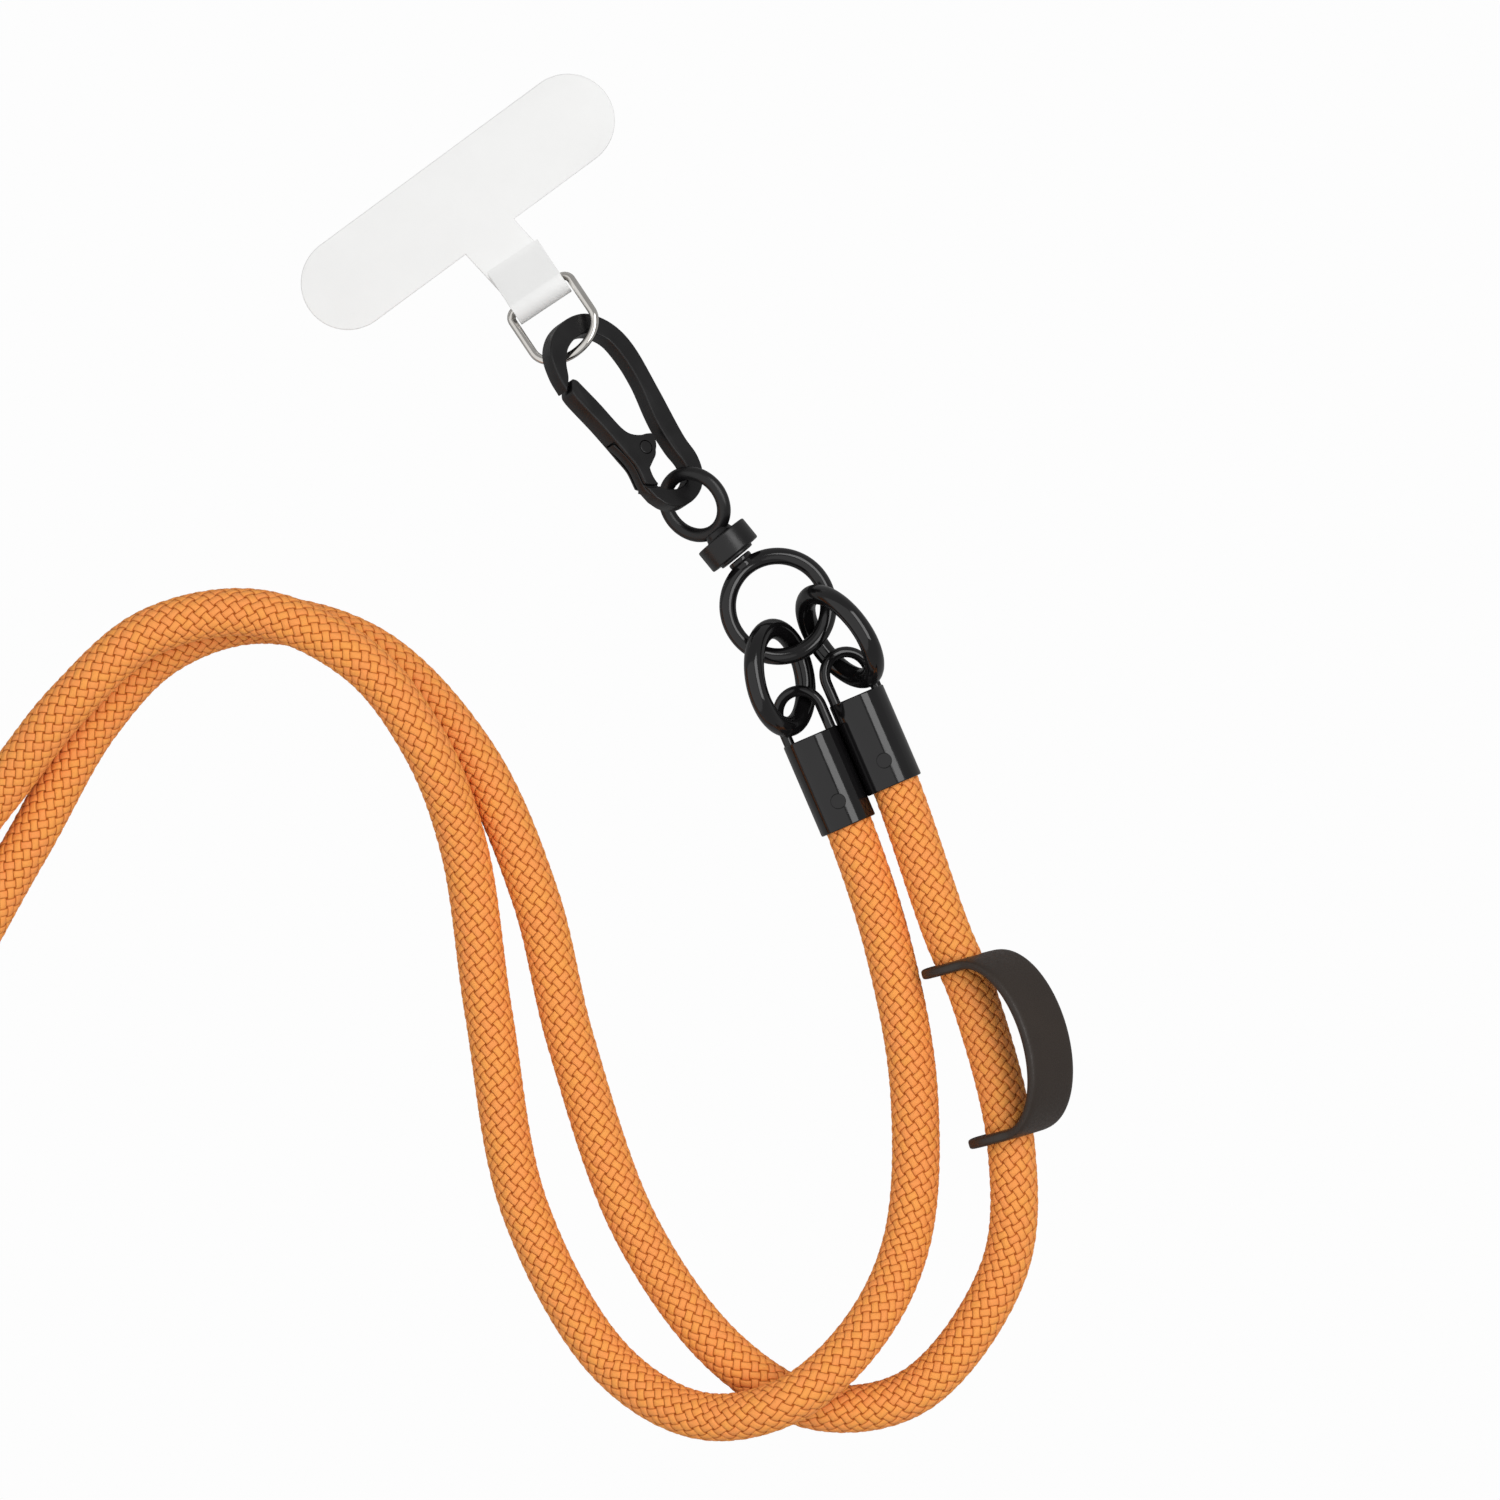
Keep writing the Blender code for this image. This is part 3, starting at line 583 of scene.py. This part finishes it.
def turned(name, profile, matrix, sides=96):
    """A side view of (x, r) points turned about X."""
    bm = bmesh.new()
    rings = []
    for x, r in profile:
        if r < 1e-7:
            rings.append([bm.verts.new((x, 0, 0))] * sides)
            continue
        angles = [2 * math.pi * i / sides for i in range(sides)]
        rings.append([bm.verts.new((x, r * math.cos(a), r * math.sin(a))) for a in angles])
    for low, high in zip(rings, rings[1:]):
        for i in range(sides):
            j = (i + 1) % sides
            corners = list(dict.fromkeys((low[i], low[j], high[j], high[i])))
            if len(corners) > 2:
                bm.faces.new(corners)
    return as_object(name, bm, matrix)


def ring(name, outer_d, wire_d, matrix, around=112, across=28, seam=None):
    """A round ring; seam gives the angle of a fine split round its wire, if it has one."""
    bm = bmesh.new()
    rows = []
    major = (outer_d - wire_d) / 2
    angles = [2 * math.pi * i / around for i in range(around)]
    narrow = {}
    if seam is not None:
        half = 0.09 * MM / major
        cuts = (-2 * half, -half, -0.35 * half, 0.35 * half, half, 2 * half)
        angles = [a for a in angles if abs((a - seam + math.pi) % (2 * math.pi) - math.pi) > 3 * half]
        angles = sorted(angles + [(seam + c) % (2 * math.pi) for c in cuts])
        narrow = {(seam + c) % (2 * math.pi): 0.93 for c in cuts[2:4]}
    for a in angles:
        r = wire_d / 2 * narrow.get(a, 1.0)
        row = []
        for j in range(across):
            b = 2 * math.pi * j / across
            reach = major + r * math.cos(b)
            row.append(bm.verts.new((reach * math.cos(a), reach * math.sin(a), r * math.sin(b))))
        rows.append(row)
    for i, low in enumerate(rows):
        high = rows[(i + 1) % len(rows)]
        for j in range(across):
            k = (j + 1) % across
            bm.faces.new((low[j], high[j], high[k], low[k]))
    return as_object(name, bm, matrix)


def boolean(obj, other, operation):
    """Cuts or joins at once, and removes the other object."""
    modifier = obj.modifiers.new(operation.lower(), "BOOLEAN")
    modifier.operation = operation
    modifier.solver = "EXACT"
    modifier.object = other
    made = applied(obj)
    bpy.data.objects.remove(other)
    return made


def joined(obj, other):
    """One mesh object that holds both meshes."""
    bm = bmesh.new()
    bm.from_mesh(obj.data)
    bm.from_mesh(other.data)
    bm.to_mesh(obj.data)
    bm.free()
    bpy.data.objects.remove(other)
    return obj


def finished(obj, body, paint, replaced=(), sharp=40.0):
    """Gives a piece its material, shading and body."""
    obj.data.materials.clear()
    obj.data.materials.append(paint)
    for polygon in obj.data.polygons:
        polygon.material_index = 0
    obj.data.shade_smooth()
    obj.data.set_sharp_from_angle(angle=math.radians(sharp))
    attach(obj, body)
    if replaced:
        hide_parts(*replaced)
    return obj


def strand_brick():
    """One strand's visible stretch, lying along X: it dives at both ends and at both sides."""
    bm = bmesh.new()
    along = (-1.0, -0.86, -0.5, 0.0, 0.5, 0.86, 1.0)
    across = (-1.0, -0.8, -0.3, 0.3, 0.8, 1.0)
    ease_u = {1.0: 0.0, 0.86: 0.62, 0.5: 0.93, 0.0: 1.0}
    ease_v = {1.0: 0.0, 0.8: 0.86, 0.3: 1.0}
    strand = bm.verts.layers.float_vector.new("strand")
    rows = []
    for u in along:
        row = []
        for v in across:
            rise = ease_u[abs(u)] * ease_v[abs(v)]
            height = STRAND_LOW + (STRAND_TOP - STRAND_LOW) * rise
            vert = bm.verts.new((u * STRAND_SHOWN / 2, v * STRAND_WIDTH / 2, height))
            vert[strand] = (u, v, 0)
            row.append(vert)
        rows.append(row)
    for low, high in zip(rows, rows[1:]):
        for j in range(len(across) - 1):
            bm.faces.new((low[j], high[j], high[j + 1], low[j + 1]))
    mesh = bpy.data.meshes.new("strand_brick")
    bm.to_mesh(mesh)
    bm.free()
    return show(bpy.data.objects.new("strand_brick", mesh))


def braid_tree():
    """Bricks on a square lattice that leans on a flat strip, turned by turns, bent round the route."""
    tree = bpy.data.node_groups.new("braid", "GeometryNodeTree")
    face = tree.interface
    face.new_socket("Geometry", in_out="INPUT", socket_type="NodeSocketGeometry")
    for name, kind in (
        ("Route", "NodeSocketObject"),
        ("Brick", "NodeSocketObject"),
        ("First row", "NodeSocketInt"),
        ("Rows", "NodeSocketInt"),
        ("Columns", "NodeSocketInt"),
        ("Cell", "NodeSocketFloat"),
        ("Lean", "NodeSocketFloat"),
        ("From", "NodeSocketFloat"),
        ("To", "NodeSocketFloat"),
        ("Cord radius", "NodeSocketFloat"),
        ("Material", "NodeSocketMaterial"),
    ):
        face.new_socket(name, in_out="INPUT", socket_type=kind)
    face.new_socket("Geometry", in_out="OUTPUT", socket_type="NodeSocketGeometry")
    given = node(tree, "NodeGroupInput").outputs

    def maths(operation, a, b=0.0):
        return node(tree, "ShaderNodeMath", {0: a, 1: b}, operation=operation).outputs[0]

    def vectors(operation, a, b=(0.0, 0.0, 0.0)):
        return node(tree, "ShaderNodeVectorMath", {0: a, 1: b}, operation=operation).outputs

    def scaled(a, factor):
        made = node(tree, "ShaderNodeVectorMath", {0: a}, operation="SCALE")
        tree.links.new(factor, made.inputs["Scale"])
        return made.outputs[0]

    index = node(tree, "GeometryNodeInputIndex").outputs[0]
    column = maths("FLOORED_MODULO", index, given["Columns"])
    row = maths("ADD", maths("FLOOR", maths("DIVIDE", index, given["Columns"])), given["First row"])
    odd = maths("FLOORED_MODULO", maths("ADD", column, row), 2.0)
    step_x = maths("MULTIPLY", given["Cell"], maths("COSINE", given["Lean"]))
    step_y = maths("MULTIPLY", given["Cell"], maths("SINE", given["Lean"]))
    x = maths("ADD", maths("MULTIPLY", column, step_x), maths("MULTIPLY", row, step_y))
    y = maths("SUBTRACT", maths("MULTIPLY", column, step_y), maths("MULTIPLY", row, step_x))
    spot = node(tree, "ShaderNodeCombineXYZ", {0: x, 1: y}).outputs[0]
    count = maths("MULTIPLY", given["Rows"], given["Columns"])
    points = node(tree, "GeometryNodePoints", {"Count": count, "Position": spot}).outputs[0]
    tint = node(tree, "FunctionNodeRandomValue", {"ID": index, "Seed": 7}, data_type="FLOAT")
    tinted = points
    for name, value in (("tint", tint.outputs[1]), ("crossing", odd)):
        tinted = node(
            tree,
            "GeometryNodeStoreNamedAttribute",
            {"Geometry": tinted, "Name": name, "Value": value},
            data_type="FLOAT",
            domain="POINT",
        ).outputs[0]
    before = maths("LESS_THAN", x, given["From"])
    past = maths("SUBTRACT", 1.0, maths("LESS_THAN", x, given["To"]))
    kept = node(
        tree,
        "GeometryNodeDeleteGeometry",
        {"Geometry": tinted, "Selection": maths("MAXIMUM", before, past)},
        domain="POINT",
    ).outputs[0]
    crossing = node(tree, "GeometryNodeInputNamedAttribute", {"Name": "crossing"}).outputs[0]
    lean = maths("SUBTRACT", given["Lean"], maths("MULTIPLY", crossing, math.radians(90)))
    turn = node(tree, "ShaderNodeCombineXYZ", {2: lean}).outputs[0]
    rotation = node(tree, "FunctionNodeEulerToRotation", {0: turn}).outputs[0]
    brick = node(tree, "GeometryNodeObjectInfo", {"Object": given["Brick"]}).outputs["Geometry"]
    laid = node(
        tree,
        "GeometryNodeInstanceOnPoints",
        {"Points": kept, "Instance": brick, "Rotation": rotation},
    ).outputs[0]
    flat = node(tree, "GeometryNodeRealizeInstances", {"Geometry": laid}).outputs[0]

    place = node(tree, "GeometryNodeInputPosition").outputs[0]
    parts = node(tree, "ShaderNodeSeparateXYZ", {0: place}).outputs
    route = node(tree, "GeometryNodeObjectInfo", {"Object": given["Route"]}).outputs["Geometry"]
    sample = node(tree, "GeometryNodeSampleCurve", {"Curves": route}, mode="LENGTH")
    tree.links.new(parts[0], sample.inputs["Length"])
    centre = sample.outputs["Position"]
    tangent = sample.outputs["Tangent"]
    up_share = vectors("DOT_PRODUCT", tangent, (0.0, 0.0, 1.0))["Value"]
    upright = vectors("SUBTRACT", (0.0, 0.0, 1.0), scaled(tangent, up_share))[0]
    upright = vectors("NORMALIZE", upright)[0]
    sideways = vectors("CROSS_PRODUCT", tangent, upright)[0]
    angle = maths("DIVIDE", parts[1], given["Cord radius"])
    radial = vectors(
        "ADD",
        scaled(upright, maths("COSINE", angle)),
        scaled(sideways, maths("SINE", angle)),
    )[0]
    bent = vectors("ADD", centre, scaled(radial, parts[2]))[0]
    wrapped = node(tree, "GeometryNodeSetPosition", {"Geometry": flat, "Position": bent}).outputs[0]
    whole = node(tree, "GeometryNodeRealizeInstances", {"Geometry": wrapped}).outputs[0]
    painted = node(
        tree, "GeometryNodeSetMaterial", {"Geometry": whole, "Material": given["Material"]}
    ).outputs[0]
    out = node(tree, "NodeGroupOutput")
    tree.links.new(painted, out.inputs[0])
    return tree


def braid_part(tree, number, values):
    """One stretch of the braid, as a finished mesh."""
    name = f"braid_{number}"
    maker = show(bpy.data.objects.new(name, bpy.data.meshes.new(name)))
    modifier = maker.modifiers.new("braid", "NODES")
    modifier.node_group = tree
    for item in tree.interface.items_tree:
        if item.in_out == "INPUT" and item.name in values:
            modifier[item.identifier] = values[item.name]
    return applied(maker)


def build_cord():
    chosen = [Vector(p) * MM for p in ROUTE_MM]
    route = smooth(chosen, 20)
    for point in route:
        point.z = max(point.z, CORD_D / 2)
    length = run_length(route)
    curve = bpy.data.curves.new("route", "CURVE")
    curve.dimensions = "3D"
    add_run(curve, route, False)
    guide = show(bpy.data.objects.new("route", curve))
    brick = strand_brick()
    tree = braid_tree()
    row_step = BRAID_CELL * math.sin(BRAID_LEAN)
    reach = STEEP_STRANDS * BRAID_CELL * math.cos(BRAID_LEAN)
    share = (length - 2 * BRAID_CELL) / BRAID_PARTS
    values = {
        "Route": guide,
        "Brick": brick,
        "Columns": STEEP_STRANDS,
        "Rows": math.ceil((share + reach) / row_step) + 2,
        "Cell": BRAID_CELL,
        "Lean": BRAID_LEAN,
        "Cord radius": CORD_D / 2,
        "Material": BRAID,
    }
    for i in range(BRAID_PARTS):
        start = BRAID_CELL + i * share
        stretch = {
            "First row": math.floor((start - reach) / row_step),
            "From": start,
            "To": start + share,
        }
        part = braid_part(tree, i + 1, {**values, **stretch})
        part.data.shade_smooth()
        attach(part, "strap")
    bpy.data.objects.remove(guide)
    bpy.data.objects.remove(brick)
    core = wire("cord_core", route[::2], 2 * CORE_R, resolution=6)
    finished(core, "strap", CORE, ("cord",))


# Caps: a turned cup with a rolled mouth, a round crimp mark, and a wire bail in its end
def cap_right_top():
    along = heading(CAP_HEADING)
    return CAP_LEFT_TOP + UP.cross(along) * (CAP_D + CAP_SPACE) - along * CAP_STEP


def build_cap(name, top, bail_rise, bail_roll):
    matrix = placed(top + UP * CAP_D / 2, heading(CAP_HEADING))
    outer = CAP_D / 2
    inner = CORD_D / 2 + GAP
    profile = [
        (0, 0),
        (0, outer),
        (CAP_LENGTH, outer),
        (CAP_LENGTH, inner),
        (CAP_END_WALL, inner),
        (CAP_END_WALL, 0),
    ]
    cup = turned(name + "_cup", rounded(profile, 0.3 * MM), matrix, 128)
    # the crimp mark has a flat floor, so that it breaks the cap's pale band
    at = matrix @ Matrix.Translation((CAP_LENGTH - DIMPLE_FROM_MOUTH, 0, outer - DIMPLE_DEPTH))
    upward = at @ Matrix.Rotation(-math.pi / 2, 4, "Y")
    mark_r = DIMPLE_D / 2
    mark = [(0, 0), (0, mark_r * 0.92), (0.1 * MM, mark_r), (outer, mark_r), (outer, 0)]
    cup = boolean(cup, turned(name + "_crimp", mark, upward, 64), "DIFFERENCE")
    half = (CAP_D - BAIL_D) / 2
    leg = bail_rise - CAP_D / 2
    turn = Matrix.Rotation(bail_roll, 3, "X")
    arch = [
        Vector((-leg - half * math.sin(a), -half * math.cos(a), 0))
        for a in (math.pi * i / 48 for i in range(49))
    ]
    inside = CAP_END_WALL * 0.8
    points = [Vector((inside, -half, 0)), *arch, Vector((inside, half, 0))]
    bail = wire(name + "_bail", [turn @ p for p in points], BAIL_D, matrix)
    cap = boolean(cup, bail, "UNION")
    finished(cap, "strap", GLOSS, (name,), 30)


def build_link(name, at, angle, tilt, seam):
    matrix = placed(at, heading(angle)) @ Matrix.Rotation(tilt, 4, "X")
    link = ring(name + "_wire", LINK_OD, LINK_WIRE, matrix, seam=seam)
    finished(link, "strap", GLOSS, (name,))


# Swivel: ring with its neck on one side, drum with its small ring on the other
def build_swivel():
    axis = placed(SWIVEL_AT, heading(SWIVEL_HEADING, SWIVEL_RISE))
    drum_end = -DRUM_FROM_RING + DRUM_LENGTH / 2
    drum_start = -DRUM_FROM_RING - DRUM_LENGTH / 2
    neck_start = drum_end + COLLAR_LENGTH + GAP
    neck_end = -BIG_RING_OD / 2 + BIG_RING_WIRE / 2
    big = ring(
        "swivel_ring_wire", BIG_RING_OD, BIG_RING_WIRE, axis @ Matrix.Rotation(BIG_RING_ROLL, 4, "X")
    )
    neck_profile = [
        (neck_start, 0),
        (neck_start, NECK_D / 2),
        (neck_start + 0.8 * MM, NECK_D / 2),
        (neck_start + 1.1 * MM, NECK_D / 2 * 0.8),
        (neck_end, NECK_D / 2 * 0.86),
        (neck_end, 0),
    ]
    neck = turned("swivel_neck", rounded(neck_profile, 0.3 * MM), axis, 64)
    big = boolean(big, neck, "UNION")
    finished(big, "strap", GLOSS, ("swivel_ring",), 35)

    small_at = drum_start - BOSS_LENGTH - (SMALL_RING_OD - SMALL_RING_WIRE) / 2
    eye_place = axis @ Matrix.Translation((small_at, 0, 0)) @ Matrix.Rotation(SMALL_RING_ROLL, 4, "X")
    eye = ring("swivel_eye_ring", SMALL_RING_OD, SMALL_RING_WIRE, eye_place)
    boss_start = drum_start - BOSS_LENGTH
    drum_profile = [
        (boss_start, 0),
        (boss_start, BOSS_D / 2 * 0.86),
        (drum_start, BOSS_D / 2),
        (drum_start, DRUM_D / 2),
        (drum_end, DRUM_D / 2),
        (drum_end, COLLAR_D / 2),
        (drum_end + COLLAR_LENGTH, COLLAR_D / 2),
        (drum_end + COLLAR_LENGTH, 0),
    ]
    drum = turned("swivel_drum", rounded(drum_profile, 0.35 * MM), axis, 128)
    eye = boolean(eye, drum, "UNION")
    finished(eye, "hook", SATIN, ("swivel_eye",), 35)


def share_points(table):
    """A table of shares of the hook's length and width, as points in the hook's plane."""
    return [Vector((u * HOOK_LENGTH, v * HOOK_WIDTH, 0)) for u, v in table]


# Snap hook: a cast body with eased edges, and a gate whose cheeks hold the body's tang
def build_hook():
    place = placed(HOOK_AT, heading(HOOK_HEADING)) @ Matrix.Rotation(-HOOK_TILT, 4, "X")
    pin_at = Vector((PIN_U * HOOK_LENGTH, PIN_V * HOOK_WIDTH, 0))
    shoulder = arc(pin_at, SHOULDER_R, SHOULDER_FROM, SHOULDER_TO, 16)
    outer = smooth(share_points(HOOK_OUTER), 8)
    inner = smooth(share_points(HOOK_INNER), 8)
    body = plate("hook_cast", [[*outer, *shoulder, *inner]], HOOK_THICK, CAST_EDGE, place)
    tang_thick = GATE_THICK - 2 * GATE_CHEEK - 2 * GAP
    head = arc(pin_at, TANG_HEAD_R, math.radians(170), math.radians(20), 20)
    outline = [*smooth(share_points(TANG_OUTER), 5), *head, *smooth(share_points(TANG_INNER), 5)]
    tang = plate("hook_tang", [outline], tang_thick, 0.15 * MM, place, 2)
    body = joined(body, tang)
    finished(body, "hook", SATIN, ("hook_body",), 20)

    end = arc(pin_at, SHOULDER_R - GAP, SHOULDER_TO - 0.05, SHOULDER_FROM + 0.04, 12)
    outline = [*smooth(share_points(GATE_OUTER), 8), *smooth(share_points(GATE_INNER), 8), *end]
    gate = plate("gate_lever", [outline], GATE_THICK, CAST_EDGE, place)
    slot_half = GATE_THICK / 2 - GATE_CHEEK
    bm = bmesh.new()
    bmesh.ops.create_cube(bm, size=1)
    bmesh.ops.scale(bm, vec=(HOOK_LENGTH, 2 * HOOK_WIDTH, 2 * slot_half), verts=bm.verts)
    bmesh.ops.translate(bm, vec=(HOOK_LENGTH * (0.5 + GATE_SEAM), 0, 0), verts=bm.verts)
    gate = boolean(gate, as_object("gate_slot", bm, place), "DIFFERENCE")
    through = place @ Matrix.Translation(pin_at) @ Matrix.Rotation(-math.pi / 2, 4, "Y")
    hole_r = PIN_D / 2 + 0.12 * MM
    hole = [(-GATE_THICK, 0), (-GATE_THICK, hole_r), (GATE_THICK, hole_r), (GATE_THICK, 0)]
    gate = boolean(gate, turned("gate_hole", hole, through, 48), "DIFFERENCE")
    finished(gate, "gate", SATIN, ("hook_gate",), 20)
    half = GATE_THICK / 2 + 0.05 * MM
    pin_profile = [(-half, 0), (-half, PIN_D / 2), (half, PIN_D / 2), (half, 0)]
    pin = turned("gate_rivet", rounded(pin_profile, 0.2 * MM), through, 64)
    finished(pin, "hook", SATIN, ("gate_pin",))


def build_d_ring():
    bar = heading(D_BAR_HEADING)
    place = placed(D_BAR_AT, bar.cross(UP))
    place = place @ Matrix.Rotation(-D_RISE, 4, "Y") @ Matrix.Rotation(D_ROLL, 4, "X")
    corner = D_CORNER
    half = D_HALF_WIDTH
    low = arc(Vector((corner, -half + corner, 0)), corner, math.pi, 1.5 * math.pi, 12)
    high = arc(Vector((corner, half - corner, 0)), corner, 0.5 * math.pi, math.pi, 12)
    bulge = D_DEPTH - D_SIDE
    bow = [
        Vector((D_SIDE + bulge * math.cos(a), half * math.sin(a), 0))
        for a in (math.pi * (i / 48 - 0.5) for i in range(49))
    ]
    d_ring = wire("d_ring_wire", [*low, *bow, *high], D_WIRE, place, cyclic=True)
    finished(d_ring, "hook", STEEL, ("d_ring",))


# Tether tab: one sheet, its neck folded round the D-ring's bar and welded back on itself
def build_tab():
    bar = heading(D_BAR_HEADING)
    along = heading(TAB_HEADING)
    loop_out = TAB_LOOP_R + TAB_THICK
    floor_at = Vector((D_BAR_AT.x, D_BAR_AT.y, 0))
    place = placed(floor_at, bar.cross(UP))
    lift = Matrix.Translation((0, 0, TAB_THICK / 2))
    end_r = TAB_WIDTH / 2
    reach = TAB_LENGTH / 2 - end_r
    left = arc(Vector((-reach, 0, 0)), end_r, 0.5 * math.pi, 1.5 * math.pi, 48)
    right = arc(Vector((reach, 0, 0)), end_r, -0.5 * math.pi, 0.5 * math.pi, 48)
    edge = 0.22 * MM
    tab = plate("tab_sheet", [[*left, *right]], TAB_THICK, edge, placed(TAB_AT, along) @ lift, 3)
    half = TAB_NECK_WIDTH / 2
    fold_at = floor_at - bar.cross(UP) * TAB_FOLD / 2
    strip_outline = [
        fold_at - bar * half,
        fold_at + bar * half,
        TAB_AT + along * half,
        TAB_AT - along * half,
    ]
    strip = plate("tab_strip", [strip_outline], TAB_THICK, edge, lift, 3)
    tab = boolean(tab, strip, "UNION")
    turn = Vector((0, D_BAR_AT.z, 0))
    low_z = D_BAR_AT.z - loop_out
    fold_outer = [
        Vector((-TAB_FOLD, 0, 0)),
        Vector((-TAB_FOLD, 1.05 * TAB_THICK, 0)),
        Vector((-0.85 * TAB_FOLD, 1.5 * TAB_THICK, 0)),
        *arc(turn, loop_out, math.radians(110), math.radians(-90), 40),
        Vector((-2 * loop_out, 0, 0)),
    ]
    fold_hole = [
        Vector((-TAB_FOLD * 0.62, TAB_THICK + low_z * 0.3, 0)),
        *arc(turn, TAB_LOOP_R, math.radians(110), math.radians(-90), 40),
        Vector((-loop_out, TAB_THICK + low_z * 0.2, 0)),
    ]
    upright = place @ Matrix.Rotation(math.pi / 2, 4, "X")
    fold = plate("tab_fold", [fold_outer, fold_hole], TAB_NECK_WIDTH, 0.12 * MM, upright, 2)
    tab = boolean(tab, fold, "UNION")
    finished(tab, "hook", TAB, ("tether_tab",), 30)


# Finger keeper: one strip with round edges, a round eyelet at each end
def build_keeper():
    chord = heading(KEEPER_HEADING)
    out = UP.cross(chord) * math.cos(KEEPER_LEAN) + UP * math.sin(KEEPER_LEAN)
    place = placed(KEEPER_AT, chord, out)
    disc_r = KEEPER_DISC_D / 2
    half = KEEPER_CHORD / 2
    bend = KEEPER_BOW - KEEPER_ARM
    path = [Vector((-half, -disc_r * math.cos(math.pi / 2 * i / 14))) for i in range(14)]
    path += [Vector((-half, KEEPER_ARM * i / 6)) for i in range(6)]
    steps = 48
    for i in range(steps + 1):
        a = math.pi * i / steps
        path.append(Vector((-math.cos(a) * half, KEEPER_ARM + math.sin(a) * bend)))
    path += [Vector((p.x * -1, p.y)) for p in reversed(path[:20])]

    def half_width(h):
        round_end = math.sqrt(max(disc_r**2 - h**2, (0.16 * disc_r) ** 2 if h < 0 else 0))
        return max(round_end, KEEPER_WIDTH / 2) if h > 0 else round_end

    bm = bmesh.new()
    rows = []
    section = 28
    thick = KEEPER_THICK / 2
    for i, spot in enumerate(path):
        before = path[max(i - 1, 0)]
        after = path[min(i + 1, len(path) - 1)]
        run = (after - before).normalized()
        normal = Vector((-run.y, run.x))
        w = half_width(spot.y)
        tip = 0.35 if i in (0, len(path) - 1) else 1.0
        row = []
        for j in range(section):
            a = 2 * math.pi * j / section
            c, s = math.cos(a), math.sin(a)
            side = math.copysign(abs(c) ** 0.28, c) * w * (0.9 if tip < 1 else 1.0)
            push = math.copysign(abs(s) ** 0.5, s) * thick * tip
            at = spot + normal * push
            row.append(bm.verts.new((at.x, side, at.y)))
        rows.append(row)
    for low, high in zip(rows, rows[1:]):
        for j in range(section):
            k = (j + 1) % section
            bm.faces.new((low[j], low[k], high[k], high[j]))
    bm.faces.new(rows[0])
    bm.faces.new(rows[-1])
    keeper = as_object("keeper_strip", bm, place)
    reach = half + 2 * KEEPER_THICK
    hole_r = CORD_D / 2 + KEEPER_SLACK
    hole = [(-reach, 0), (-reach, hole_r), (reach, hole_r), (reach, 0)]
    keeper = boolean(keeper, turned("keeper_hole", hole, place, 64), "DIFFERENCE")
    finished(keeper, "strap", RUBBER, ("keeper",), 50)


build_cord()
build_cap("cap_left", CAP_LEFT_TOP, BAIL_RISE_LEFT, BAIL_ROLL)
build_cap("cap_right", cap_right_top(), BAIL_RISE_RIGHT, -BAIL_ROLL)
build_link("link_left", LINK_LEFT_AT, LINK_LEFT_HEADING, LINK_LEFT_TILT, 1.0)
build_link("link_right", LINK_RIGHT_AT, LINK_RIGHT_HEADING, LINK_RIGHT_TILT, -1.9)
build_swivel()
build_hook()
build_d_ring()
build_tab()
build_keeper()

# Floor: a white sheet that looks evenly lit, and that sends back a softer light than it shows
bm = bmesh.new()
bmesh.ops.create_grid(bm, x_segments=2, y_segments=2, size=3.0)
floor = as_object("floor", bm, Matrix.Translation((0, 0, -0.00002)))
paper, tree, shader = new_material("white_paper_floor")
shader.inputs["Base Color"].default_value = linear("#A8A8A8")
shader.inputs["Roughness"].default_value = 0.9
shader.inputs["Specular IOR Level"].default_value = 0.0
lit = node(tree, "ShaderNodeEmission", {"Color": linear("#FDFDFD"), "Strength": 1.0})
seen = node(tree, "ShaderNodeLightPath").outputs["Is Camera Ray"]
both = node(tree, "ShaderNodeMixShader", {0: seen, 1: shader.outputs[0], 2: lit.outputs[0]})
tree.links.new(both.outputs[0], tree.nodes["Material Output"].inputs["Surface"])
floor.data.materials.append(paper)

# Light: a dim pale room, a broad soft panel over the left, and one long panel on the right
world = bpy.data.worlds.new("studio")
bpy.context.scene.world = world
world.use_nodes = True
world.node_tree.nodes["Background"].inputs[0].default_value = (1, 1, 1, 1)
world.node_tree.nodes["Background"].inputs[1].default_value = 0.36
bpy.context.scene.view_settings.view_transform = "Standard"


def panel(name, angle, lean, away, length, width, radiance):
    """A soft panel whose middle leans from the upright towards a heading, facing the strap."""
    at = (heading(angle) * math.sin(lean) + UP * math.cos(lean)) * away
    data = bpy.data.lights.new(name, "AREA")
    data.shape = "RECTANGLE"
    data.size = length
    data.size_y = width
    data.energy = radiance * math.pi * length * width
    obj = bpy.data.objects.new(name, data)
    obj.location = at
    obj.rotation_euler = (-at).to_track_quat("-Z", "Y").to_euler()
    obj.visible_camera = False
    bpy.context.scene.collection.objects.link(obj)


# across the caps, so that each carries one pale band right of its middle
ACROSS = CAP_HEADING + math.pi / 2
panel("right_panel", ACROSS, math.radians(33), 3.0, 3.6, 1.42, 3.4)
panel("left_panel", ACROSS + math.pi, math.radians(36), 3.0, 6.0, 6.6, 0.5)
